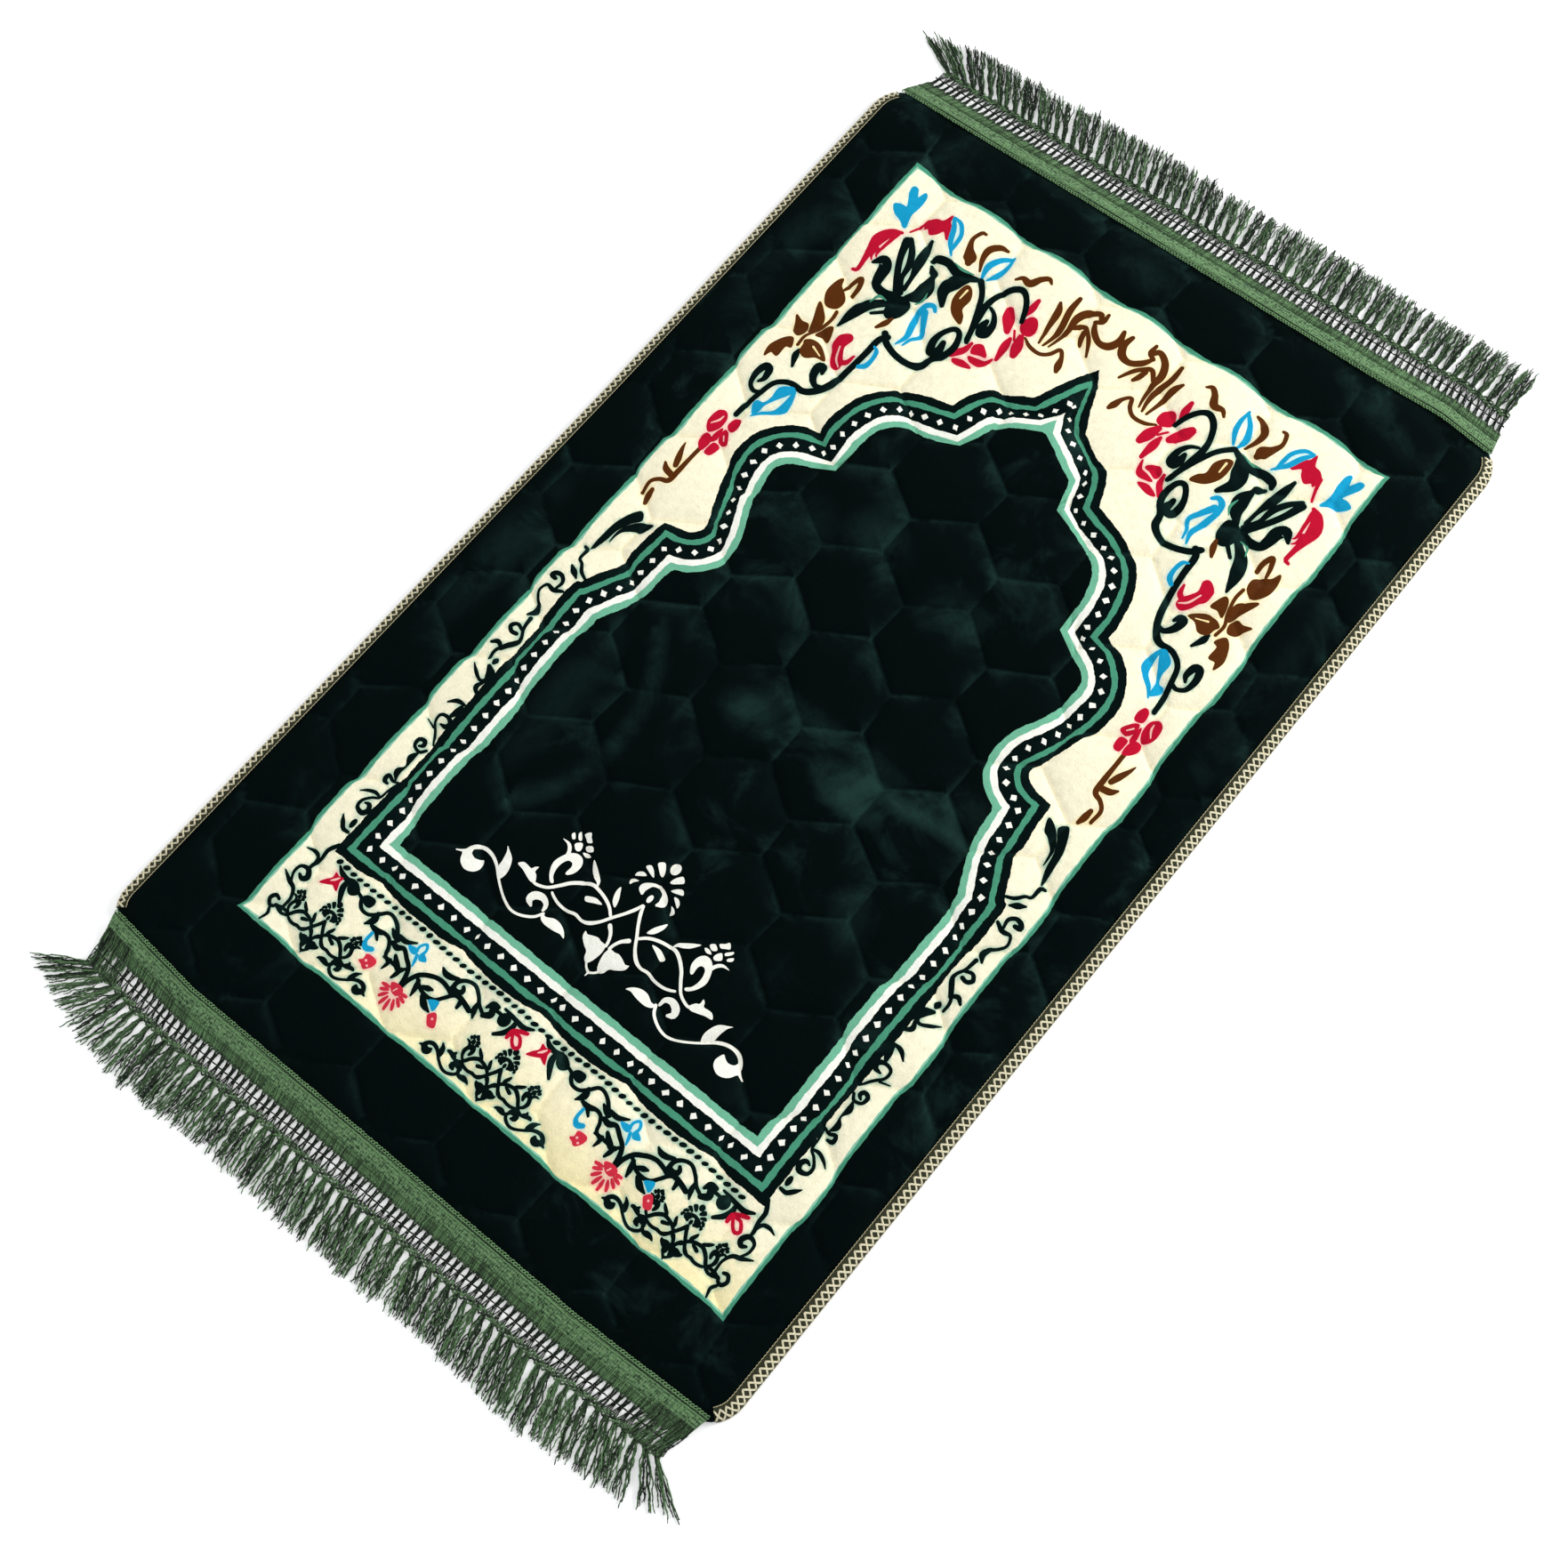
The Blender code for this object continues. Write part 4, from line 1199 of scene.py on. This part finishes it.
def yarn_finish(name, dark_shade, pale_shade):
    """Yarn, darker or paler by its tint, with fibres that roughen it."""
    made, shader, wire = finish_named(name, Metallic=0.0, Sheen_Weight=0.1, Sheen_Roughness=0.4,
                                      Specular_IOR_Level=0.25)
    tint = wire.point_value("tint")
    fibres = wire.noise(FUZZ, Detail=2.0)
    faded = wire.noise(24.0)
    share = (tint + 0.5 * fibres + 0.25 * faded - 0.38).clamp()
    wire.plug(shader.inputs["Base Color"], share.blend(dark_shade, pale_shade))
    wire.plug(shader.inputs["Roughness"], 0.7 + 0.2 * fibres)
    bump = wire.node("ShaderNodeBump", None, {"Height": fibres, "Strength": 0.4, "Distance": 0.0004})
    wire.plug(shader.inputs["Normal"], bump)
    return made


print("yarn tools ready")

# %% [markdown]
# ## The edge braids
#
# Each braid is a dark tape with a pale lattice of two flat cords. The cords run in zigzags, one
# the mirror of the other, and pass over and under each other where they cross. The tape is wrapped
# round the rim. So a place on it is known by two numbers, how far along the side and how far down
# round the rim, and one function turns both into a point in space.

# %% Wrapping something round the rim
RIM_WRAP = np.array([(14.0, 10.6), (11.5, 9.85), (10.0, 9.35), (7.0, 8.3), (3.8, 6.7), (1.6, 4.8),
                     (0.3, 2.8), (0.0, 1.4), (0.3, 0.7)]) * MM
wrap_length = np.concatenate([[0], np.cumsum(np.linalg.norm(np.diff(RIM_WRAP, axis=0), axis=1))])
wrap_length -= wrap_length[2]                  # 0 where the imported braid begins
WRAP_NORMAL = normals_of(np.column_stack([-RIM_WRAP[:, 0], RIM_WRAP[:, 1]]))
# The pad's two ends, in millimetres from its middle, where the trims are sewn on.
FRONT_END = np.array([(-354.0, -562.0), (-250.0, -570.0), (-60.0, -567.5), (190.0, -566.0),
                      (328.0, -558.0)])
BACK_END = np.array([(-336.0, 562.0), (-23.0, 572.5), (227.0, 579.0), (288.0, 582.5),
                     (347.0, 577.0)])
END_CLEAR = 9.2                                # mm from a corner of the pad to the braid's end
SIDE_ENDS = {side: ((FRONT_END[at, 1] + END_CLEAR) * MM, (BACK_END[at, 1] - END_CLEAR) * MM)
             for side, at in ((-1, 0), (1, -1))}


def side_line(side):
    """The pad's rim along one long side, between the two trims, from the front end up."""
    ring = to_rug(rim_line)
    part = ring[(ring[:, 0] - pad_middle[0]) * side > 0.2]
    part = part[np.argsort(part[:, 1])]
    low, high = SIDE_ENDS[side]
    part = part[(part[:, 1] > low) & (part[:, 1] < high)]
    gone = np.concatenate([[0], np.cumsum(np.linalg.norm(np.diff(part, axis=0), axis=1))])
    return part, gone


def wrapped(side, along, down, lift):
    """Points at a distance along the side, and down round the rim, lifted off the plush."""
    part, gone = side_line(side)
    outwards = normals_of(part) * -side
    place = np.column_stack([np.interp(along, gone, part[:, axis]) for axis in (0, 1)])
    away = np.column_stack([np.interp(along, gone, outwards[:, axis]) for axis in (0, 1)])
    away /= np.linalg.norm(away, axis=1)[:, None]
    inset, height, out, up = (np.interp(down, wrap_length, column) for column in
                              (RIM_WRAP[:, 0], RIM_WRAP[:, 1], WRAP_NORMAL[:, 0], WRAP_NORMAL[:, 1]))
    plan = place + away * (out * lift - inset)[:, None]
    return np.column_stack([plan, height + up * lift + rest[2]])


print("round the rim, mm:", round(wrap_length[-1] / MM, 1))

# %% Braids
LATTICE_PITCH = 14.28 * MM                     # one zigzag of one cord
LATTICE_MIDDLE = 6.0 * MM
LATTICE_HALF = 4.3 * MM
PLY = 0.72 * MM                                # from one of a cord's three plies to the next
EDGE_CORDS = ((-1.7 * MM, 0.85 * MM, 0.12), (12.6 * MM, 0.9 * MM, 0.3))   # place, thickness, tint
tape_cloth = yarn_finish("braid_tape", srgb(24, 27, 14), srgb(66, 70, 42))
cord_yarn = yarn_finish("braid_cord", srgb(196, 184, 140), srgb(255, 250, 224))


def zigzag(turns):
    """A wave with straight slopes and rounded turns, from -1 to 1."""
    return np.arcsin(np.sin(2 * pi * turns) * 0.97) / (pi / 2) / 0.84


def braid(side, name, node):
    """The tape and the lattice on one long side; gives back its length."""
    _, gone = side_line(side)
    length = gone[-1]
    steps = np.linspace(0, length, ceil(length / (3.2 * MM)))
    downs = wrap_length[1:]
    count = len(downs)
    level = np.ones(len(steps))
    face = np.vstack([wrapped(side, steps, level * down, 0.75 * MM) for down in downs])
    back = np.vstack([wrapped(side, steps, level * down, 0.12 * MM) for down in downs[::-1]])
    grid = np.arange(2 * count * len(steps)).reshape(2 * count, len(steps))
    beside = np.roll(grid, -1, axis=0)
    faces = np.stack([grid[:, :-1], beside[:, :-1], beside[:, 1:], grid[:, 1:]], axis=-1).reshape(-1, 4)
    if side < 0:
        faces = faces[:, ::-1]
    ends = [grid[:, 0].tolist(), grid[::-1, -1].tolist()]
    if side < 0:
        ends = [end[::-1] for end in ends]
    tape = Bundle()
    tape.add((np.vstack([face, back]), faces.tolist() + ends), 0.35)
    tape = tape.piece(name + "_tape", tape_cloth, node)

    cords = Bundle()
    fine = np.linspace(0.0, length, ceil(length / (0.95 * MM)))
    drift = np.random.default_rng(11 + side)
    swell = 1 + 0.05 * np.interp(fine, np.linspace(0, length, 90), drift.uniform(-1, 1, 90))
    for way in (1, -1):
        turns = fine / LATTICE_PITCH + 0.25
        for ply in (-1, 0, 1):
            down = LATTICE_MIDDLE + way * LATTICE_HALF * zigzag(turns) * swell + ply * PLY
            lift = 1.25 * MM + 0.3 * MM * way * np.cos(2 * pi * turns) + (0.12 * MM if ply == 0 else 0)
            line = wrapped(side, fine, down, lift)
            cords.add(yarns([line], 1.05 * MM, 0.8, 1100.0), 0.55 + 0.1 * ply)
    for down, thick, tint in EDGE_CORDS:
        beat = 0.25 * MM * np.sin(2 * pi * fine / (3.4 * MM))
        line = wrapped(side, fine, np.full(len(fine), down) + beat, 0.85 * MM)
        cords.add(yarns([line], thick, 0.7, 900.0), tint)
    cords = cords.piece(name + "_lattice", cord_yarn, node)
    return length


braids = [braid(-1, "left_braid", "edge_braid_left"), braid(1, "right_braid", "edge_braid_right")]
print("braids, mm long:", [round(length / MM) for length in braids])

# %% [markdown]
# ## The fringe trims
#
# A trim is knitted in one go. Its heading is a ribbed tape, sewn over the pad's end with a row of
# small loops, and ends in close stitches. From these, groups of four yarns run out to a chain. One
# dark thread crosses them half way, where they are drawn together, and that makes the open net.
# Beyond the chain the yarns hang loose, in bunches, as tassels. A place on a trim is given by its
# share of the width, from left to right, and by how far out it lies from the pad's end.

# %% Places on a trim
LAP = 8.0                                      # mm of the heading that lie on the pad
REACH = 40.0                                   # mm from the pad's end to the roots of the tassels
# How high the trim lies, at each distance out from the pad's end, mm.
HEADING_SECTION = np.array([(-8.6, 10.3), (-3.0, 9.6), (4.0, 7.0), (11.0, 4.0), (17.0, 2.1),
                            (40.0, 2.0)])
NET_START = 17.0                               # mm from the pad's end, as is the chain
CHAIN = 37.5
COLUMN_PITCH = 7.15                            # from one column of the net to the next
TASSEL_PITCH = 10.3


class Trim:
    """One end's trim: where it lies, and how its tassels lean, in degrees, across its width.

    The number opening is how far a bunch spreads, in mm, and the next one makes its yarns
    darker, as painted shade.
    """

    def __init__(self, line, outward, left, right, leans, opening, shade_painted, seed):
        self.line = line
        self.opening = opening
        self.shade_painted = shade_painted
        self.outward = outward
        self.left = left
        self.right = right
        self.leans = np.array(leans)
        self.random = np.random.default_rng(seed)
        self.width = right[0] - left[0]
        self.columns = round(self.width / COLUMN_PITCH)
        self.tassels = round(self.width / TASSEL_PITCH)

    def place(self, share, out, height):
        """A point in metres; all three can be lists."""
        given = (np.asarray(value, dtype=float) for value in (share, out, height))
        share, out, height = np.broadcast_arrays(*given)
        drawn = ((out + LAP) / (LAP + REACH)).clip(-0.1, 1)
        start = self.left[0] + (self.left[1] - self.left[0]) * drawn
        end = self.right[0] + (self.right[1] - self.right[0]) * drawn
        x = start + (end - start) * share
        first = self.line[0]
        way = self.line[1] - first
        y = np.interp(x, self.line[:, 0], self.line[:, 1])
        y = np.where(x < first[0], first[1] + (x - first[0]) * way[1] / way[0], y)
        return np.stack([x, y + self.outward * out, height + rest[2] / MM], axis=-1) * MM

    def lean(self, share):
        return np.radians(np.interp(share, self.leans[:, 0], self.leans[:, 1]))


front = Trim(FRONT_END, -1, (-354.0, -345.5), (328.0, 316.0),
             [(0, -55), (0.02, -50), (0.045, -34), (0.07, -19), (0.12, -3), (0.45, 11), (0.94, 16),
              (0.965, 26), (0.98, 42), (1, 62)], opening=3.5, shade_painted=0.04, seed=21)
# The back trim's yarns are painted darker than the front's: painted shade.
back = Trim(BACK_END, 1, (-336.0, -318.0), (347.0, 338.5),
            [(0, -62), (0.03, -52), (0.08, -34), (0.3, -24), (0.6, -9), (1, 0)],
            opening=2.1, shade_painted=0.16, seed=34)


def surface(out):
    return np.interp(out, HEADING_SECTION[:, 0], HEADING_SECTION[:, 1])


print("columns of the nets:", front.columns, "and", back.columns)

# %% Heading
RIB = 3.5                                      # mm from rib to rib
KNIT = (2.3, 1.2)                              # mm from stitch to stitch, along the trim and out
HEADING_THICK = 1.3
heading_cloth, shader, wire = finish_named("ribbed_heading", Metallic=0.0, Sheen_Weight=0.08,
                                           Sheen_Roughness=0.4, Specular_IOR_Level=0.25)
cloth = wire.node("ShaderNodeUVMap", {"uv_map": "cloth"})
across = wire.node("ShaderNodeSeparateXYZ", None, {"Vector": cloth})
outwards = Wire(wire.tree, across.socket.node.outputs[1])
columns = wire.sum("SINE", across * (2 * pi / KNIT[0]), 0.0)
rows = wire.sum("SINE", outwards * (2 * pi / KNIT[1]) + 0.9 * columns, 0.0)
ribs = wire.sum("SINE", outwards * (2 * pi / RIB) + 0.4 * columns, 0.0)
weave = wire.noise(420.0, Detail=3.0)
long_fade = wire.noise(11.0)
# The ribs and stitches are painted paler on their crests and darker in their grooves, a painted
# highlight and painted shade over the random weave, and the tape is made darker outwards.
stitch = 0.5 + 0.1 * ribs + 0.16 * columns + 0.16 * rows
lit = (stitch + 3.2 * weave - 1.62 - 0.012 * outwards + 0.3 * long_fade).clamp()
wire.plug(shader.inputs["Base Color"], lit.blend(srgb(28, 52, 32), srgb(118, 156, 108)))
wire.plug(shader.inputs["Roughness"], 0.75 + 0.15 * weave)
bump = wire.node("ShaderNodeBump", None, {"Height": stitch + 0.6 * weave, "Strength": 0.8,
                                          "Distance": 0.0008})
wire.plug(shader.inputs["Normal"], bump)


def heading(trim, name, node):
    """The ribbed tape, as a thin closed sheet."""
    outs = np.linspace(-LAP - 0.4, NET_START + 1.0, 36)
    shares = np.linspace(0, 1, ceil(trim.width / 2.9))
    ribbed = 0.26 * np.cos(2 * pi * (outs - 1.2) / RIB)
    grid_share, grid_out = np.meshgrid(shares, outs, indexing="ij")
    ripple = 0.5 * np.sin(grid_share * 53) + 0.4 * np.sin(grid_share * 131 + 1)
    top = trim.place(grid_share, grid_out, surface(grid_out) + ribbed + 0.12 * ripple)
    low = trim.place(grid_share, grid_out, surface(grid_out) - HEADING_THICK + 0.12 * ripple)
    places = np.vstack([top.reshape(-1, 3), low.reshape(-1, 3)])
    index = np.arange(len(places)).reshape(2, len(shares), len(outs))
    upper, under = index
    faces = [np.stack([upper[:-1, :-1], upper[1:, :-1], upper[1:, 1:], upper[:-1, 1:]], axis=-1),
             np.stack([under[:-1, :-1], under[:-1, 1:], under[1:, 1:], under[1:, :-1]], axis=-1)]
    faces = np.vstack([part.reshape(-1, 4) for part in faces])
    sides = [index[:, :, 0], index[:, -1, 1:], index[:, -2::-1, -1], index[:, 0, -2:0:-1]]
    ring = np.concatenate(sides, axis=1)
    ahead = np.roll(ring, -1, axis=1)
    faces = np.vstack([faces, np.stack([ring[0], ring[1], ahead[1], ahead[0]], axis=-1)])
    if trim.outward < 0:
        faces = faces[:, ::-1]
    piece = new_piece(name, places, faces.tolist(), node)
    layer = piece.data.uv_layers.new(name="cloth")
    flat = np.stack([grid_share * trim.width, grid_out], axis=-1).reshape(-1, 2)
    flat = np.vstack([flat, flat])
    corners = np.empty(len(piece.data.loops), dtype=int)
    piece.data.loops.foreach_get("vertex_index", corners)
    layer.data.foreach_set("uv", flat[corners].ravel())
    piece.data.materials.append(heading_cloth)
    return piece


print("heading cloth:", len(heading_cloth.node_tree.nodes), "nodes in its material")

# %% Loops, net and chain
LOOP_PITCH = 3.1
STITCH_PITCH = 1.7                             # of the close stitches from which the net hangs
# Threads along the whole trim: how far out, how thick, how high over the trim, and their tint.
ALONG = ((-LAP + 1.0, 1.1, 0.5, -0.1), (-LAP + 3.0, 1.2, 0.45, 1.0), (8.0, 0.9, 0.35, 0.15),
         (10.4, 0.7, 0.75, 0.1), ((NET_START + CHAIN) / 2 - 0.7, 1.6, 0.9, -0.15))
CHAIN_ROWS = ((CHAIN - 2.0, 0.0), (CHAIN - 0.6, pi), (CHAIN + 0.9, 0.0), (CHAIN + 2.2, pi))
fringe_yarn = yarn_finish("fringe_yarn", srgb(12, 27, 14), srgb(114, 154, 104))


def net(trim, name, node):
    """Everything between the pad and the tassels, apart from the ribbed tape."""
    made, luck = Bundle(), trim.random
    count = trim.columns
    shares = (np.arange(count) + 0.5) / count
    per_mm = 1 / trim.width

    loops = round(trim.width / LOOP_PITCH)
    turn = np.linspace(0, 2 * pi, 8, endpoint=False)
    middles = (np.arange(loops)[:, None] + 0.5) / loops + np.cos(turn) * 1.4 * per_mm
    outs = -LAP - 0.9 + np.sin(turn) * 1.5 + luck.uniform(-0.3, 0.3, (loops, 1))
    ring = trim.place(middles, outs, surface(outs) + 0.35 + 0.25 * np.cos(2 * turn))
    made.add(yarns(ring, 1.1 * MM, 0.8), luck.uniform(0.7, 1.1, loops))

    edge = np.linspace(0, 1, 3 * count)
    for out, thick, lift, tint in ALONG:
        wave = 0.25 * np.sin(edge * trim.width * 0.88 + out) + 0.5 * np.sin(edge * 23 + out)
        line = trim.place(edge, out + wave, surface(out) + lift)
        made.add(yarns([line], thick * MM, 0.75, 700.0), tint)

    fine = round(trim.width / STITCH_PITCH)
    t = np.linspace(0, 1, 5)
    lean = luck.normal(0.9, 0.8, (fine, 1)) * t + 0.3 * np.sin(7 * t + np.arange(fine)[:, None])
    at = (np.arange(fine)[:, None] + 0.5) / fine + lean * per_mm
    out = 8.0 + 10.8 * t + luck.uniform(-0.6, 0.5, (fine, 1)) * t
    line = trim.place(at.clip(0, 1), out, surface(out) + 0.45 - 0.5 * t)
    tint = luck.uniform(0.25, 1.0, (fine, 1)) - 0.35 * t ** 2
    made.add(yarns(line, 1.6 * MM, 0.7, 600.0), tint.ravel())

    drift = 0.5 * np.sin(np.arange(count) * 0.9) + luck.normal(0, 0.3, count)
    t = np.linspace(-1, 1, 13)
    out = NET_START - 1.0 + (CHAIN - NET_START + 1.0) * (t + 1) / 2
    apart = np.interp(t, [-1, -0.8, -0.4, 0, 0.3, 0.75, 1], [2.9, 1.9, 1.25, 1.05, 1.5, 2.9, 3.4])
    for place_in in (-1.0, -0.4, 0.4, 1.0):
        sway = drift[:, None] * (1 - t ** 2) + luck.normal(0, 0.22, (count, 1)) * (1 + t)
        skew = 1.6 * (t[None, :] + 0.2) * np.sin(trim.lean(shares).clip(-0.5, 0.5))[:, None]
        line = trim.place(shares[:, None] + (place_in * apart + sway + skew) * per_mm, out[None, :],
                          1.1 + 0.5 * (1 - abs(t)) + np.where(t < -0.6, surface(out) - 1.2, 0))
        # Painted shade: the net's yarns are given low tints, darkest in the middle of the net.
        tint = luck.uniform(0.0, 0.2, (count, 1)) + 0.3 * t ** 2 - 0.2
        made.add(yarns(line, 1.5 * MM, 0.8, 700.0), tint.ravel())

    from_end = trim.width * np.minimum(shares, 1.15 * (1 - shares))
    dense = np.interp(from_end, [0, 26, 44], [1, 0.8, 0]) if trim is front else np.zeros(count)
    few = np.flatnonzero(dense > 0.3)
    for _ in range(8 if len(few) else 0):        # both cut ends of the front net are matted
        t = np.linspace(0, 1, 11)
        start = shares[few] + luck.normal(0, 3.0, len(few)) * per_mm
        bent = luck.normal(0, 1.6, (len(few), 1)) * np.sin(t * 5)
        wave = bent + luck.normal(0, 2.2, (len(few), 1)) * t
        out = 5.0 + (CHAIN - 3.0) * t
        line = trim.place((start[:, None] + wave * per_mm).clip(0, 1), out,
                          surface(out) + 0.2 + luck.uniform(0, 1.0, (len(few), 1)))
        made.add(yarns(line, 1.6 * MM, 0.7, 700.0), luck.uniform(-0.1, 0.6, len(few)))

    for row, (out, phase) in enumerate(CHAIN_ROWS):
        steps = np.linspace(0, 1, 8 * count)
        beat = steps * count * 2 * pi + phase + 0.5 * np.sin(steps * 90)
        drop = 0.5 * np.sin(steps * 34 + trim.outward) + 0.35 * np.sin(steps * 77)
        line = trim.place(steps, out + 1.2 * np.sin(beat) + drop, 1.8 + 0.7 * np.cos(beat + row))
        tint = 0.38 + 0.35 * np.sin(beat * 0.37 + row)
        made.add(yarns([line], 2.1 * MM, 0.75, 500.0), tint)
    return made.piece(name, fringe_yarn, node)


print("loops", LOOP_PITCH, "mm apart, columns", COLUMN_PITCH, "mm apart")


# %% Tassels
YARNS_PER_TASSEL = 12
TASSEL_LENGTH = 50.0
YARN = 1.85                                    # mm thick


def tassels(trim, name, node):
    """Bunches of loose yarns, drawn together at the chain and spread further out."""
    made, luck = Bundle(), trim.random
    count = trim.tassels
    shares = (np.arange(count) + 0.5 + luck.normal(0, 0.06, count)) / count
    turned = luck.normal(0, 2.4, count) * (shares > 0.05)
    wide = luck.uniform(0.72, 1.12, count) + 0.4 * (shares < 0.07)
    t = np.linspace(0, 1, 28)
    spread = 1.7 + trim.opening * np.interp(t, [0, 0.08, 0.3, 0.6, 1], [0, 0.15, 0.75, 1.0, 1.1])
    for ply in range(YARNS_PER_TASSEL):
        place_in = 2 * ply / (YARNS_PER_TASSEL - 1) - 1
        angle = trim.lean(shares) + np.radians(turned + luck.normal(0, 0.7 * trim.opening, count))
        bend = luck.normal(0, 2.0, (count, 1)) * t ** 2
        reach = (TASSEL_LENGTH + luck.normal(0, 2.6, count) + 1.8 * np.sin(shares * 19 + trim.outward)
                 - 6 * luck.uniform(0, 1, count) ** 4)
        sway = luck.uniform(0, 2 * pi, (count, 1))
        wiggle = (0.5 * np.sin(t * 25 + sway) + 0.8 * np.sin(t * 11 + 2 * sway)) * np.minimum(t * 4, 1)
        stray = np.where(luck.uniform(0, 1, count) > 0.9, luck.normal(0, 6, count), 0)
        stray = stray[:, None] * t ** 2.5
        sideways = ((place_in + luck.normal(0, 0.14, (count, 1))) * spread * wide[:, None]
                    + np.sin(angle)[:, None] * t * reach[:, None] + bend + wiggle + stray)
        outwards = np.cos(angle)[:, None] * t * reach[:, None]
        root = trim.place(shares, REACH - 1.5, 0)
        arch = np.sin(t * 2.2 + 0.35) ** 2
        heights = 1.05 + 2.6 * luck.uniform(0, 1, (count, 1)) * arch + 1.0 * (1 - t) ** 3
        line = np.stack([root[:, None, 0] + sideways * MM,
                         root[:, None, 1] + trim.outward * outwards * MM,
                         heights * MM + rest[2]], axis=-1)
        thick = YARN * MM * (1 - 0.3 * t ** 6)
        # Painted shade: each yarn is darker near its root, where its bunch is gathered, and darker on
        # the back trim.
        tint = luck.uniform(-0.1, 0.8, (count, 1)) - 0.2 * (1 - t) ** 6 - trim.shade_painted
        made.add(yarns(line, thick, 0.62, 760.0, sides=3), tint.ravel())
    return made.piece(name, fringe_yarn, node)


for trim, name, node in ((front, "front_trim", "fringe_trim_bottom"),
                         (back, "back_trim", "fringe_trim_top")):
    tape = heading(trim, name + "_heading", node)
    loose = [net(trim, name + "_net", node), tassels(trim, name + "_tassels", node)]
    print(name, "-", [len(piece.data.polygons) for piece in loose], "faces of yarn")

# %% [markdown]
# ## Floor, light and finish
#
# A plain pale floor and two soft lights. The strong one stands behind the right side, and a broad,
# weaker one opposite. The light must graze the puffs a little, or the quilting would hardly show.

# %% Floor and lights
FLOOR_HALF = 8                                 # m
FLOOR_DROP = 0.0002
floor_corners = [(x * FLOOR_HALF, y * FLOOR_HALF, -FLOOR_DROP)
                 for x, y in ((-1, -1), (1, -1), (1, 1), (-1, 1))]
floor_mesh = bpy.data.meshes.new("floor")
floor_mesh.from_pydata(floor_corners, [], [(0, 1, 2, 3)])
floor = bpy.data.objects.new("floor", floor_mesh)
bpy.context.scene.collection.objects.link(floor)
floor_paint = finish_named("floor_paint", Base_Color=(0.93, 0.93, 0.93, 1.0), Roughness=0.8,
                           Specular_IOR_Level=0.1, Emission_Color=(1.0, 1.0, 1.0, 1.0),
                           Emission_Strength=0.3)[0]
floor.data.materials.append(floor_paint)


def soft_light(name, place, size, power):
    """A square of light, turned towards the rug."""
    made = bpy.data.lights.new(name, "AREA")
    made.size = size
    made.energy = power
    lamp = bpy.data.objects.new(name, made)
    lamp.location = place
    lamp.rotation_euler = (AIM - Vector(place)).to_track_quat("-Z", "Y").to_euler()
    bpy.context.scene.collection.objects.link(lamp)


soft_light("key", (1.9, 2.3, 1.7), 1.1, 78.0)
soft_light("fill", (-2.0, -1.2, 2.4), 2.4, 16.0)
world = bpy.data.worlds.new("studio")
world.use_nodes = True
sky = world.node_tree.nodes["Background"]
sky.inputs["Color"].default_value = (0.97, 0.985, 1.0, 1.0)
sky.inputs["Strength"].default_value = 0.62
bpy.context.scene.world = world
bpy.context.scene.view_settings.view_transform = "Standard"
print("floor, two lights and a pale world are in place")
